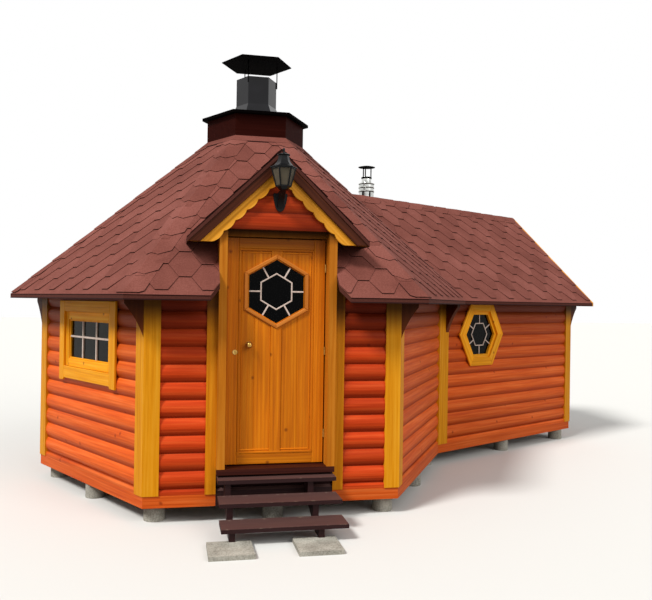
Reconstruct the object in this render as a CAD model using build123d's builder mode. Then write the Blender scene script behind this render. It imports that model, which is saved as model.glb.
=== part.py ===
"""Six-sided log-clad grill hut with a gabled sauna annex on its back right side, in millimetres.

+Z is up, the door faces -Y and +X is to the right of someone facing the door.
The origin is on the ground under the middle of the hexagon.
An azimuth is the compass direction of an outward face, in degrees from +X towards +Y."""

import os
from math import atan, ceil, cos, degrees, radians, sin, tan

from build123d import *

os.makedirs("parts", exist_ok=True)

# Log walls and their posts
hexagon_side = 1960
wall_thickness = 45
log_height = 132
log_bulge = 18
post_proud = 8
post_leg = 120
wall_bottom = 120
trim_rise = 90
sill_chamfer = 18

# Floors and the frames under them
floor_height = 390
floor_board = 28
frame_width = 60
joist_width = 45
joist_depth = 140
joist_spacing = 400

# Concrete piers
pier_radius = 80
pier_sides = 12
pier_inset = 180
mid_pier_inset = 97

# Main roof
roof_pitch = 44
roof_board = 24
eave_rise = 1530
eave_overhang = 240
smoke_opening_radius = 380

# Sauna annex
annex_azimuth = 30
annex_side_step = 40
annex_length = 2473
annex_eave_overhang = 175
annex_gable_overhang = 205
annex_post_leg = 115
junction_leg_annex = 130
junction_leg_hexagon = 30
passage_height = 1370
bargeboard_width = 110
bargeboard_thickness = 25
bargeboard_lip = 12

# Doorway and its frame
door_width = 752
door_height = 1719
door_thickness = 40
door_face_recess = 60
door_gap = 9
door_floor_gap = 8
jamb_width = 60
jamb_proud = 60
jamb_inner_depth = 47
stop_lip = 25
stop_thickness = 20
stop_gap = 7
threshold_height = 15
door_plank_width = 80
head_height = 82

# Door panels, window, knob and hinges
door_stile = 85
door_rail = 80
door_centre_stile = 84
panel_recess = 8
door_window_drop = 404
door_window_radius = 244
door_window_frame_radius = 276
window_moulding_width = 18
window_moulding_proud = 6
glazing_rebate = 12
glass_thickness = 6
bead_depth = 14
knob_inset = 169
knob_rise = 930
knob_radius = 26
knob_reach = 62
neck_radius = 9
rose_radius = 27
rose_thickness = 9
key_plate_inset = 64
key_plate_rise = 874
key_plate_radius = 20
key_plate_thickness = 4
hinge_rises = (250, 886, 1522)
knuckle_radius = 6
knuckle_height = 30
knuckle_gap = 0.5
hinge_axis_out = 8
hinge_axis_inset = 2
hinge_plate = 2.5
hinge_plate_width = 33
hinge_plate_lap = 1
hinge_arm_front = 3
hinge_arm_side = 2

# Porch gable over the door
porch_half_width = 685
porch_eave_drop = 54
porch_front = 110
dormer_depth = 357
cheek_thickness = 22
gable_board = 22
gable_course = 128
gable_bulge = 7
gable_recess = 10
gable_drop = 33
barge_foot_rise = 8
scallop_board_width = 138
scallop_board_thickness = 20
scallop_count = 6
scallop_depth = 16
fascia_width = 87
fascia_thickness = 22
eave_cut_width = 70
eave_cut_depth = 90

# Smoke collar and chimney
collar_radius = 470
collar_board = 22
collar_rise = 224
rim_radius = 520
rim_thickness = 26
chimney_radius = 195
chimney_wall = 6
chimney_height = 399
flare_radius = 235
flare_height = 70
hat_radius = 342
hat_gap = 155
hat_thickness = 6
hat_rod_radius = 5
hat_rod_lap = 60

# Stainless sauna flue
flue_setback = 288
flue_back = 450
flue_radius = 90
flue_sides = 16
flue_bore = 52
flue_tail = 60
flue_rise = 687
flue_inner_radius = 57
flue_neck = 80
flue_ring_radius = 102
flue_ring_height = 8
flue_ring_drops = (100, 55, 10)
flue_roof_gap = 2
flashing_width = 320
flashing_thickness = 3
flue_cap_radius = 102
flue_cap_gap = 114
flue_cap_rise = 20
flue_cap_crown = 12
flue_leg_width = 14

# Window in the front left wall
side_window_width = 900
side_window_rise = 678
side_window_height = 472
side_window_frame = 68
side_trim_width = 95
side_trim_cover = 10
side_trim_tail = 123
side_trim_board = 103
trim_thickness = 20

# Six-sided window in the annex
annex_window_setback = 621
annex_window_rise = 938
annex_window_trim_radius = 388
annex_window_trim_inner = 286
annex_window_frame_radius = 330
annex_window_radius = 247

# Knee brackets under the eaves
bracket_thickness = 45
bracket_reach = 145
bracket_nose = 28
bracket_drop = 290
bracket_sag = 16

# Steps
tread_count = 3
tread_inset = 5
tread_thickness = 28
tread_drop = 45
tread_rise = 113
tread_going = 215
tread_first_going = 153
tread_overhang = 20
tread_wall_gap = 0.3
stringer_places = (-365, 250)
stringer_thickness = 42
stringer_foot = 130
stringer_heel = 215
slab_size = 300
slab_thickness = 30
slab_places = (-385, 200)
slab_out = 683

# Lantern on the porch gable
lantern_reach = 158
lantern_drop = 249.5
lantern_glass_height = 138
lantern_glass_foot_radius = 52
lantern_glass_head_radius = 88
lantern_glass_wall = 3
lantern_hood_radius = 102
lantern_skirt_height = 34
lantern_waist_radius = 64
lantern_crown_height = 58
lantern_hood_neck = 40
lantern_dome_radius = 47
lantern_dome_height = 14
lantern_finial_height = 42
lantern_finial_radius = 9
lantern_cup_height = 24
lantern_cup_narrowing = 0.55
lantern_plate_width = 84
lantern_plate_height = 150
lantern_plate_drop = 25
lantern_plate_thickness = 12
lantern_arm_width = 56
lantern_arm_drop = 120
lantern_arm_rise = 80

# Sizes that follow from the ones above
half_turn = 180
sixth = 60
slope = tan(radians(roof_pitch))
roof_plumb = roof_board / cos(radians(roof_pitch))
apothem = hexagon_side * cos(radians(30))
eave_height = wall_bottom + eave_rise
trim_bottom = wall_bottom + trim_rise
first_joint = wall_bottom + log_height
post_depth = post_proud + wall_thickness
log_crest = apothem - post_proud
wall_inside = apothem - post_depth
eave_reach = apothem + eave_overhang
wall_end = hexagon_side / 2 - post_leg
annex_half = hexagon_side / 2 + annex_side_step
annex_reach = apothem + annex_length
annex_inside = annex_half - post_depth
annex_end_inside = annex_reach - post_depth
annex_eave = annex_half + annex_eave_overhang
annex_gable = annex_reach + annex_gable_overhang
valley_start = eave_reach - annex_eave
frame_top = floor_height - floor_board
doorway_half = door_width / 2 + door_gap
jamb_outer = doorway_half + jamb_width
plank_outer = jamb_outer + door_plank_width
door_bottom = floor_height + threshold_height + door_floor_gap
door_top = door_bottom + door_height
door_face = apothem - door_face_recess
door_back = door_face - door_thickness
jamb_front = apothem + jamb_proud
jamb_back = door_back - stop_gap
roof_front_edge = apothem + porch_front
porch_eave_height = door_top - porch_eave_drop
porch_apex = porch_eave_height + porch_half_width * slope
door_window_height = door_top - door_window_drop
above_all = 2 * (eave_height + eave_reach)

FRONT, RIGHT_FRONT, BACK, LEFT_BACK, LEFT_FRONT = 270, 330, 90, 150, 210
annex_front_azimuth = annex_azimuth - 90
annex_back_azimuth = annex_azimuth + 90


def outward(azimuth):
    """Unit vector pointing out of a wall."""
    return Vector(cos(radians(azimuth)), sin(radians(azimuth)), 0)


def along(azimuth):
    """Unit vector along a wall, to the right as seen from outside."""
    return Vector(-sin(radians(azimuth)), cos(radians(azimuth)), 0)


def spot(azimuth, out, run, height=0):
    """Point at a distance out of the middle, along the wall and above the ground."""
    return outward(azimuth) * out + along(azimuth) * run + Vector(0, 0, height)


def plan(azimuth, out, run):
    """The same point in plan."""
    point = spot(azimuth, out, run)
    return (point.X, point.Y)


def face_plane(azimuth, out, run=0, height=0):
    """Upright plane facing outwards, its X along the wall and its Y up."""
    return Plane(spot(azimuth, out, run, height), x_dir=along(azimuth), z_dir=outward(azimuth))


def section_plane(azimuth, out, run):
    """Upright plane across a wall, its X outwards and its Y up, facing the wall's left end."""
    return Plane(spot(azimuth, out, run), x_dir=outward(azimuth), z_dir=-along(azimuth))


def roof_plane(azimuth, reach, height):
    """Underside of a roof slope that falls towards an azimuth and ends at a height and reach."""
    tilt = radians(roof_pitch)
    normal = outward(azimuth) * sin(tilt) + Vector(0, 0, cos(tilt))
    return Plane(spot(azimuth, reach, 0, height), x_dir=along(azimuth), z_dir=normal)


def main_underside(azimuth):
    return roof_plane(azimuth, eave_reach, eave_height)


def annex_underside(azimuth):
    return roof_plane(azimuth, annex_eave, eave_height)


def porch_underside(azimuth):
    return roof_plane(azimuth, porch_half_width, porch_eave_height)


def save(piece, name):
    """Label a finished piece and write it to its own file."""
    piece.part.label = name
    export_step(piece.part, f"parts/{name}.step")


def prism(points, bottom, top):
    """Upright prism over a plan outline."""
    with BuildPart() as piece:
        with BuildSketch(Plane.XY.offset(bottom)):
            with BuildLine():
                Polyline(*points, close=True)
            make_face()
        extrude(amount=top - bottom)
    return piece


def joined(pieces):
    """Several made pieces in one node."""
    with BuildPart() as group:
        for piece in pieces:
            add(piece.part)
    return group


def cut_below(piece, planes):
    """Keep what lies under every plane."""
    with BuildPart() as rest:
        add(piece.part)
        for plane in planes:
            split(bisect_by=plane, keep=Keep.BOTTOM)
    return rest


def log_panel(section, length, bottom, top, course, bulge, thickness, foot):
    """Panel of rounded logs or boards, flat inside, over the points of a foot, run over a length."""
    courses = ceil((top - bottom) / course)
    with BuildPart() as panel:
        with BuildSketch(section):
            with BuildLine():
                joints = [bottom + number * course for number in range(courses + 1)]
                for low, high in zip(joints, joints[1:]):
                    ThreePointArc((-bulge, low), (0, (low + high) / 2), (-bulge, high))
                Polyline((-bulge, joints[-1]), (-thickness, joints[-1]), (-thickness, foot[0][1]), *foot)
            make_face()
        extrude(amount=length)
        split(bisect_by=Plane.XY.offset(top), keep=Keep.BOTTOM)
    return panel


def log_wall(azimuth, face, left, right, top):
    """Panel of half-round logs over the flat top of the sill, from its left to its right end."""
    section = section_plane(azimuth, face - post_proud, right)
    foot = [(0, trim_bottom), (0, first_joint - sill_chamfer), (-log_bulge, first_joint)]
    return log_panel(section, right - left, first_joint, top, log_height, log_bulge, wall_thickness, foot)


def main_wall(azimuth, left, right):
    """Log panel of the hexagon, cut off under its own roof slope."""
    top = eave_height + (eave_reach - wall_inside) * slope
    return cut_below(log_wall(azimuth, apothem, left, right, top), [main_underside(azimuth)])


def corner(radius, azimuth):
    return (radius * cos(radians(azimuth)), radius * sin(radians(azimuth)))


def sector(azimuth, inner, outer):
    """Plan of one side of the hexagon between two distances from the middle."""
    spread = tan(radians(30))
    return [
        plan(azimuth, inner, -inner * spread),
        plan(azimuth, outer, -outer * spread),
        plan(azimuth, outer, outer * spread),
        plan(azimuth, inner, inner * spread),
    ]


def roof_slab(points, underside):
    """Roof boards of even thickness over a plan outline, with plumb edges."""
    with BuildPart() as slab:
        add(prism(points, 0, above_all).part)
        split(bisect_by=underside.offset(roof_board), keep=Keep.BOTTOM)
        split(bisect_by=underside, keep=Keep.TOP)
    return slab


# Concrete piers: one at each corner, one under each long side and one in the middle
corner_pier_ring = hexagon_side - pier_inset
mid_pier_ring = apothem - mid_pier_inset
annex_pier_out = annex_reach - pier_inset
annex_pier_run = annex_half - mid_pier_inset
pier_places = [(0, 0)]
pier_places += [corner(corner_pier_ring, vertex) for vertex in range(0, 360, sixth)]
pier_places += [plan(side, mid_pier_ring, 0) for side in (FRONT, RIGHT_FRONT, BACK, LEFT_BACK, LEFT_FRONT)]
annex_pier_mid = (annex_pier_out + apothem) / 2
for pier_out in (annex_pier_mid, annex_pier_out):
    for pier_side in (-1, 1):
        pier_places.append(plan(annex_azimuth, pier_out, pier_side * annex_pier_run))

with BuildPart() as concrete_piers:
    with BuildSketch():
        with Locations(*pier_places):
            RegularPolygon(pier_radius, pier_sides)
    extrude(amount=wall_bottom)
save(concrete_piers, "concrete_piers")

# Floor frame of the hexagon: a ring beam and joists across it
ring_inside = wall_inside - frame_width
joist_bottom = frame_top - joist_depth
with BuildPart() as floor_frame_main:
    with BuildSketch(Plane.XY.offset(wall_bottom)):
        RegularPolygon(wall_inside, 6, major_radius=False)
        RegularPolygon(ring_inside, 6, major_radius=False, mode=Mode.SUBTRACT)
    extrude(amount=frame_top - wall_bottom)
    with BuildSketch(Plane.XY.offset(joist_bottom)):
        joist_rows = 2 * int(ring_inside // joist_spacing) + 1
        with GridLocations(0, joist_spacing, 1, joist_rows):
            Rectangle(2 * hexagon_side, joist_width)
        RegularPolygon(wall_inside - frame_width / 2, 6, major_radius=False, mode=Mode.INTERSECT)
    extrude(amount=joist_depth)
    with BuildSketch(Plane.XY.offset(wall_bottom)):
        RegularPolygon(pier_radius, pier_sides)
    extrude(amount=joist_depth)
save(floor_frame_main, "floor_frame_main")

with BuildPart() as floor_main:
    with BuildSketch(Plane.XY.offset(frame_top)):
        RegularPolygon(wall_inside, 6, major_radius=False)
    extrude(amount=floor_board)
save(floor_main, "floor_main")

# Floor and floor frame of the annex
annex_floor_length = annex_end_inside - wall_inside
annex_floor_middle = spot(annex_azimuth, wall_inside + annex_floor_length / 2, 0)
annex_floor_plane = Plane(annex_floor_middle, x_dir=outward(annex_azimuth), z_dir=(0, 0, 1))
with BuildPart() as floor_frame_annex:
    with BuildSketch(annex_floor_plane.offset(wall_bottom)):
        Rectangle(annex_floor_length, 2 * annex_inside)
        Rectangle(
            annex_floor_length - 2 * frame_width, 2 * annex_inside - 2 * frame_width, mode=Mode.SUBTRACT
        )
    extrude(amount=frame_top - wall_bottom)
    with BuildSketch(annex_floor_plane.offset(joist_bottom)):
        annex_joists = int(annex_floor_length // joist_spacing) - 1
        with GridLocations(joist_spacing, 0, annex_joists, 1):
            Rectangle(joist_width, 2 * annex_inside - frame_width)
    extrude(amount=joist_depth)
save(floor_frame_annex, "floor_frame_annex")

with BuildPart() as floor_annex:
    with BuildSketch(annex_floor_plane.offset(frame_top)):
        Rectangle(annex_floor_length, 2 * annex_inside)
    extrude(amount=floor_board)
save(floor_annex, "floor_annex")


def main_post(vertex):
    """Corner post of the hexagon: two boards in one, meeting at 120 degrees."""
    tip = Vector(*corner(hexagon_side, vertex))
    inner = Vector(*corner(wall_inside / cos(radians(30)), vertex))
    ahead, behind = vertex + 30, vertex - 30
    ahead_end = tip + along(ahead) * post_leg
    behind_end = tip - along(behind) * post_leg
    points = [
        tip,
        ahead_end,
        ahead_end - outward(ahead) * post_depth,
        inner,
        behind_end - outward(behind) * post_depth,
        behind_end,
    ]
    post = prism([(p.X, p.Y) for p in points], trim_bottom, above_all)
    return cut_below(post, [main_underside(ahead), main_underside(behind)])


# The concave corner where an annex wall leaves the hexagon, measured out along the annex
cos_side, sin_side = cos(radians(sixth)), sin(radians(sixth))
junction_out = (apothem - annex_half * sin_side) / cos_side
junction_run = junction_out * sin_side - annex_half * cos_side
annex_wall_start = junction_out + junction_leg_annex
hexagon_wall_end = junction_run - junction_leg_hexagon


# Sill beams under the logs and posts, round the hexagon and the annex
sill_out = apothem - post_proud
sill_annex_half = annex_half - post_proud
sill_annex_out = annex_reach - post_proud


def sill_corner(out, half):
    """Plan point where the annex's side meets the next side of the hexagon."""
    return (out - half * sin_side) / cos_side


outer_corners = [corner(sill_out / cos(radians(30)), vertex) for vertex in (120, 180, 240, 300)]
outer_corners.append(plan(annex_azimuth, sill_corner(sill_out, sill_annex_half), -sill_annex_half))
outer_corners.append(plan(annex_azimuth, sill_annex_out, -sill_annex_half))
outer_corners.append(plan(annex_azimuth, sill_annex_out, sill_annex_half))
outer_corners.append(plan(annex_azimuth, sill_corner(sill_out, sill_annex_half), sill_annex_half))
inner_corners = [corner(wall_inside / cos(radians(30)), vertex) for vertex in (120, 180, 240, 300)]
inner_corners.append(plan(annex_azimuth, sill_corner(wall_inside, annex_inside), -annex_inside))
inner_corners.append(plan(annex_azimuth, annex_end_inside, -annex_inside))
inner_corners.append(plan(annex_azimuth, annex_end_inside, annex_inside))
inner_corners.append(plan(annex_azimuth, sill_corner(wall_inside, annex_inside), annex_inside))
with BuildPart() as sill_beams:
    add(prism(outer_corners, wall_bottom, trim_bottom).part)
    add(prism(inner_corners, wall_bottom, trim_bottom).part, mode=Mode.SUBTRACT)
save(sill_beams, "sill_beams")


def junction_post(hand):
    """Post at the concave corner: hand is -1 in front and 1 behind."""
    inner_out = (wall_inside - annex_inside * sin_side) / cos_side
    leg_out = junction_out - junction_leg_hexagon * sin_side
    leg_run = annex_half + junction_leg_hexagon * cos_side
    outline = [
        (junction_out, annex_half),
        (annex_wall_start, annex_half),
        (annex_wall_start, annex_inside),
        (inner_out, annex_inside),
        (leg_out - post_depth * cos_side, leg_run - post_depth * sin_side),
        (leg_out, leg_run),
    ]
    points = [plan(annex_azimuth, out, hand * run) for out, run in outline]
    post = prism(points, trim_bottom, above_all)
    undersides = [
        main_underside(annex_azimuth),
        main_underside(annex_azimuth + hand * sixth),
        annex_underside(annex_azimuth + hand * 90),
    ]
    return cut_below(post, undersides)


def annex_post(hand):
    """Square corner post at the far end of the annex."""
    outline = [
        (annex_reach, annex_half),
        (annex_reach, annex_half - annex_post_leg),
        (annex_end_inside, annex_half - annex_post_leg),
        (annex_end_inside, annex_inside),
        (annex_reach - annex_post_leg, annex_inside),
        (annex_reach - annex_post_leg, annex_half),
    ]
    points = [plan(annex_azimuth, out, hand * run) for out, run in outline]
    post = prism(points, trim_bottom, above_all)
    return cut_below(post, [annex_underside(annex_azimuth + hand * 90)])


posts = [main_post(vertex) for vertex in (120, 180, 240, 300)]
posts += [junction_post(hand) for hand in (-1, 1)]
posts += [annex_post(hand) for hand in (-1, 1)]
corner_posts = joined(posts)
save(corner_posts, "corner_posts")

# Log panels of the hexagon that have no opening
save(main_wall(RIGHT_FRONT, -wall_end, hexagon_wall_end), "wall_right_front")
save(main_wall(BACK, -hexagon_wall_end, wall_end), "wall_back")
save(main_wall(LEFT_BACK, -wall_end, wall_end), "wall_left_back")
save(main_wall(FRONT, -wall_end, -plank_outer), "wall_front_left")
save(main_wall(FRONT, plank_outer, wall_end), "wall_front_right")

# Logs below the doorway
save(log_wall(FRONT, apothem, -jamb_outer, jamb_outer, frame_top), "wall_front_below")

# Planks beside the doorway
planks = []
for hand in (-1, 1):
    outline = [
        (hand * jamb_outer, -apothem),
        (hand * plank_outer, -apothem),
        (hand * plank_outer, -wall_inside),
        (hand * jamb_outer, -wall_inside),
    ]
    plank = prism(outline, trim_bottom, above_all)
    planks.append(cut_below(plank, [main_underside(FRONT)]))
door_planks = joined(planks)
save(door_planks, "door_planks")

# Front left wall with its window opening
side_window_bottom = floor_height + side_window_rise
side_window_middle = side_window_bottom + side_window_height / 2
with BuildPart() as wall_left_front:
    add(main_wall(LEFT_FRONT, -wall_end, wall_end).part)
    with BuildSketch(face_plane(LEFT_FRONT, apothem, 0, side_window_middle)):
        Rectangle(side_window_width, side_window_height)
    extrude(amount=-post_depth, mode=Mode.SUBTRACT)
save(wall_left_front, "wall_left_front")

# Annex walls
annex_wall_stop = annex_reach - annex_post_leg
annex_window_out = apothem + annex_window_setback
annex_window_height = floor_height + annex_window_rise
annex_wall_top = eave_height + (annex_eave - annex_inside) * slope
with BuildPart() as annex_wall_front:
    add(log_wall(annex_front_azimuth, annex_half, annex_wall_start, annex_wall_stop, annex_wall_top).part)
    split(bisect_by=annex_underside(annex_front_azimuth), keep=Keep.BOTTOM)
    with BuildSketch(face_plane(annex_front_azimuth, annex_half, annex_window_out, annex_window_height)):
        RegularPolygon(annex_window_frame_radius, 6)
    extrude(amount=-post_depth, mode=Mode.SUBTRACT)
save(annex_wall_front, "annex_wall_front")

with BuildPart() as annex_wall_back:
    add(log_wall(annex_back_azimuth, annex_half, -annex_wall_stop, -annex_wall_start, annex_wall_top).part)
    split(bisect_by=annex_underside(annex_back_azimuth), keep=Keep.BOTTOM)
save(annex_wall_back, "annex_wall_back")

gable_half = annex_half - annex_post_leg
gable_top = eave_height + annex_eave * slope
with BuildPart() as annex_wall_end:
    add(log_wall(annex_azimuth, annex_reach, -gable_half, gable_half, gable_top).part)
    split(bisect_by=annex_underside(annex_front_azimuth), keep=Keep.BOTTOM)
    split(bisect_by=annex_underside(annex_back_azimuth), keep=Keep.BOTTOM)
save(annex_wall_end, "annex_wall_end")

# Beam over the way from the hexagon into the annex
beam_outline = [
    plan(annex_azimuth, wall_inside, -annex_inside),
    plan(annex_azimuth, apothem, -annex_inside),
    plan(annex_azimuth, apothem, annex_inside),
    plan(annex_azimuth, wall_inside, annex_inside),
]
passage_beam = cut_below(
    prism(beam_outline, floor_height + passage_height, above_all),
    [main_underside(azimuth) for azimuth in (annex_azimuth, RIGHT_FRONT, BACK)],
)
save(passage_beam, "passage_beam")

# Main roof: six slopes around the smoke opening
hub = smoke_opening_radius * cos(radians(30))
spread = tan(radians(30))

eave_corner = eave_reach * spread
cut_start = jamb_outer + eave_cut_width
dormer_back = apothem - dormer_depth
front_outline = [
    (-hub * spread, hub),
    (-eave_corner, eave_reach),
    (-cut_start, eave_reach),
    (-jamb_outer, eave_reach - eave_cut_depth),
    (-jamb_outer, dormer_back),
    (jamb_outer, dormer_back),
    (jamb_outer, eave_reach - eave_cut_depth),
    (cut_start, eave_reach),
    (eave_corner, eave_reach),
    (hub * spread, hub),
]
roof_front = roof_slab([plan(FRONT, out, run) for run, out in front_outline], main_underside(FRONT))
save(roof_front, "roof_front")

for azimuth, name in ((LEFT_FRONT, "roof_left_front"), (LEFT_BACK, "roof_left_back")):
    save(roof_slab(sector(azimuth, hub, eave_reach), main_underside(azimuth)), name)

# Where the annex roof meets the hexagon's: the valley leaves the ridge at 45 degrees, crosses the
# hip and then runs down beside the next slope to the eaves
hip_out = valley_start / (1 - spread)
hip_run = hip_out * spread
foot_out = (eave_reach - annex_eave * sin_side) / cos_side


def valley_foot(hand):
    """Plan point where the valley reaches the eaves."""
    return plan(annex_azimuth, foot_out, hand * annex_eave)


def neighbour_roof(hand):
    """Slope beside the annex, cut off along the valley."""
    azimuth = annex_azimuth + hand * sixth
    points = [
        corner(smoke_opening_radius, annex_azimuth + hand * 30),
        plan(annex_azimuth, hip_out, hand * hip_run),
        valley_foot(hand),
        plan(azimuth, eave_reach, hand * eave_corner),
        corner(smoke_opening_radius, annex_azimuth + hand * 90),
    ]
    return roof_slab(points, main_underside(azimuth))


save(neighbour_roof(-1), "roof_right_front")
save(neighbour_roof(1), "roof_back")

roof_annex_side = roof_slab(sector(annex_azimuth, hub, hip_out), main_underside(annex_azimuth))
save(roof_annex_side, "roof_annex_side")

# Annex roof slopes, lying on the hexagon's roof at the inner end
flue_middle = spot(annex_azimuth, apothem + flue_setback, flue_back)


def annex_roof(hand):
    """One annex slope from the gable to the valley."""
    points = [
        plan(annex_azimuth, valley_start, 0),
        plan(annex_azimuth, annex_gable, 0),
        plan(annex_azimuth, annex_gable, hand * annex_eave),
        valley_foot(hand),
        plan(annex_azimuth, hip_out, hand * hip_run),
    ]
    with BuildPart() as slope_boards:
        add(roof_slab(points, annex_underside(annex_azimuth + hand * 90)).part)
        add(roof_annex_side.part, mode=Mode.SUBTRACT)
    return slope_boards


save(annex_roof(-1), "annex_roof_front")
with BuildPart() as annex_roof_back:
    add(annex_roof(1).part)
    with BuildSketch(Plane.XY):
        with Locations((flue_middle.X, flue_middle.Y)):
            Circle(flue_radius + flue_roof_gap)
    extrude(amount=above_all, mode=Mode.SUBTRACT)
save(annex_roof_back, "annex_roof_back")

# Bargeboards against the ends of the annex roof boards, with a lip above them for the shingles
barge_lip = roof_plumb + bargeboard_lip
barge_drop = bargeboard_width / cos(radians(roof_pitch)) - barge_lip
with BuildPart() as annex_bargeboards:
    with BuildSketch(face_plane(annex_azimuth, annex_gable)):
        with BuildLine():
            Polyline(
                (-annex_eave, eave_height),
                (-annex_eave, eave_height + barge_lip),
                (0, gable_top + barge_lip),
                (annex_eave, eave_height + barge_lip),
                (annex_eave, eave_height),
                (annex_eave - barge_drop / slope, eave_height),
                (0, gable_top - barge_drop),
                (-annex_eave + barge_drop / slope, eave_height),
                close=True,
            )
        make_face()
    extrude(amount=bargeboard_thickness)
save(annex_bargeboards, "annex_bargeboards")


def knee_bracket(face, end, hand, outer_faces, undersides):
    """Curved board that carries a wall's line on past a corner post, up to the roof."""
    tip = end + hand * bracket_reach
    low = eave_height - bracket_drop
    chord = Vector(tip - end, low - eave_height + bracket_nose)
    middle = Vector((end + tip) / 2, (low + eave_height - bracket_nose) / 2)
    sag = Vector(-hand * abs(chord.Y), abs(chord.X)).normalized() * bracket_sag
    with BuildPart() as bracket:
        with BuildSketch(face):
            with BuildLine():
                Line((tip, eave_height - bracket_nose), (tip, above_all))
                Line((tip, above_all), (end - hand * post_depth, above_all))
                Line((end - hand * post_depth, above_all), (end - hand * post_depth, low))
                Line((end - hand * post_depth, low), (end, low))
                bend = (middle.X + sag.X, middle.Y + sag.Y)
                ThreePointArc((end, low), bend, (tip, eave_height - bracket_nose))
            make_face()
        extrude(amount=-bracket_thickness)
        for plane in outer_faces:
            split(bisect_by=plane, keep=Keep.TOP)
    return cut_below(bracket, undersides)


# One bracket at each corner away from the annex, on the line of one of its two walls
brackets = []
for azimuth, hand in ((FRONT, -1), (FRONT, 1), (LEFT_FRONT, -1), (BACK, 1)):
    neighbour = azimuth + hand * sixth
    line = face_plane(azimuth, apothem - post_proud)
    slopes = [main_underside(azimuth), main_underside(neighbour)]
    outer = [face_plane(neighbour, apothem)]
    brackets.append(knee_bracket(line, hand * hexagon_side / 2, hand, outer, slopes))

# Brackets at the two far corners of the annex, on its side walls' lines
for hand in (-1, 1):
    side = annex_azimuth + hand * 90
    side_line = face_plane(side, annex_half - post_proud)
    end_face = face_plane(annex_azimuth, annex_reach)
    brackets.append(knee_bracket(side_line, -hand * annex_reach, -hand, [end_face], [annex_underside(side)]))

# Brackets square to the annex's sides, on the far edges of the posts at the two concave corners
for hand in (-1, 1):
    side = annex_azimuth + hand * 90
    start = spot(annex_azimuth, annex_wall_start - bracket_thickness / 2, hand * annex_half)
    across = -hand * outward(annex_azimuth)
    line = Plane(start - across * bracket_thickness / 2, x_dir=outward(side), z_dir=-across)
    outer = [face_plane(side, annex_half)]
    brackets.append(knee_bracket(line, 0, 1, outer, [main_underside(annex_azimuth + hand * sixth)]))
eave_brackets = joined(brackets)
save(eave_brackets, "eave_brackets")


collar_outer = collar_radius * cos(radians(30))
collar_top = eave_height + roof_plumb + (eave_reach - collar_outer) * slope + collar_rise


def collar_side(azimuth):
    """One board of the smoke collar, standing on its roof slope."""
    board = prism(sector(azimuth, collar_outer - collar_board, collar_outer), eave_height, collar_top)
    with BuildPart() as side:
        add(board.part)
        split(bisect_by=main_underside(azimuth).offset(roof_board), keep=Keep.TOP)
    return side


smoke_collar = joined([collar_side(annex_azimuth + turn) for turn in range(0, 360, sixth)])
save(smoke_collar, "smoke_collar")

with BuildPart() as collar_rim:
    with BuildSketch(Plane.XY.offset(collar_top)):
        RegularPolygon(rim_radius, 6)
        RegularPolygon(chimney_radius - chimney_wall, 6, mode=Mode.SUBTRACT)
    extrude(amount=rim_thickness)
save(collar_rim, "collar_rim")

# Chimney: six-sided tube with a flared foot
chimney_foot = collar_top + rim_thickness
chimney_top = chimney_foot + chimney_height
hat_height = chimney_top + hat_gap


def six_sided_taper(foot_radius, head_radius, height):
    """Angle from plumb of the faces of a six-sided body that narrows upwards, in degrees."""
    return degrees(atan((foot_radius - head_radius) * cos(radians(30)) / height))


def chimney_body(inset):
    """The chimney's outer form, or its bore when inset by the wall."""
    with BuildPart() as body:
        with BuildSketch(Plane.XY.offset(chimney_foot)):
            RegularPolygon(flare_radius - inset, 6)
        extrude(amount=flare_height, taper=six_sided_taper(flare_radius, chimney_radius, flare_height))
        with BuildSketch(Plane.XY.offset(chimney_foot + flare_height)):
            RegularPolygon(chimney_radius - inset, 6)
        extrude(amount=chimney_top - chimney_foot - flare_height)
    return body


with BuildPart() as chimney_pipe:
    add(chimney_body(0).part)
    add(chimney_body(chimney_wall).part, mode=Mode.SUBTRACT)
save(chimney_pipe, "chimney_pipe")

# Flat hat on three rods fastened outside the pipe's corners
rod_circle = chimney_radius + hat_rod_radius
with BuildPart() as chimney_hat:
    with BuildSketch(Plane.XY.offset(hat_height)):
        RegularPolygon(hat_radius, 6)
    extrude(amount=hat_thickness)
    with BuildSketch(Plane.XY.offset(chimney_top - hat_rod_lap)):
        with PolarLocations(rod_circle, 3):
            RegularPolygon(hat_rod_radius, 6)
    extrude(amount=hat_rod_lap + hat_gap)
save(chimney_hat, "chimney_hat")

# Stainless flue of the sauna stove, through the back slope of the annex roof
annex_back_top = annex_underside(annex_back_azimuth).offset(roof_board)
flue_roof_height = eave_height + roof_plumb + (annex_eave - flue_back) * slope
flue_bottom = flue_roof_height - roof_plumb - flue_radius * slope - flue_tail
flue_shoulder = flue_roof_height + flue_rise
flue_top = flue_shoulder + flue_neck
flue_base = Plane((flue_middle.X, flue_middle.Y, 0))
flashing_middle = (flue_middle.X, flue_middle.Y, flue_roof_height)

with BuildPart() as flue_pipe:
    with BuildSketch(Plane(flashing_middle, x_dir=along(annex_back_azimuth), z_dir=annex_back_top.z_dir)):
        Rectangle(flashing_width, flashing_width)
    extrude(amount=flashing_thickness)
    with BuildSketch(flue_base.offset(flue_bottom)):
        RegularPolygon(flue_radius, flue_sides)
    extrude(amount=flue_shoulder - flue_bottom)
    with BuildSketch(flue_base.offset(flue_shoulder)):
        RegularPolygon(flue_inner_radius, flue_sides)
    extrude(amount=flue_top - flue_shoulder)
    for ring_drop in flue_ring_drops:
        with BuildSketch(flue_base.offset(flue_shoulder - ring_drop)):
            RegularPolygon(flue_ring_radius, flue_sides)
        extrude(amount=flue_ring_height)
    with BuildSketch(flue_base.offset(flue_bottom)):
        RegularPolygon(flue_bore, flue_sides)
    extrude(amount=flue_top - flue_bottom, mode=Mode.SUBTRACT)
save(flue_pipe, "flue_pipe")

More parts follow.
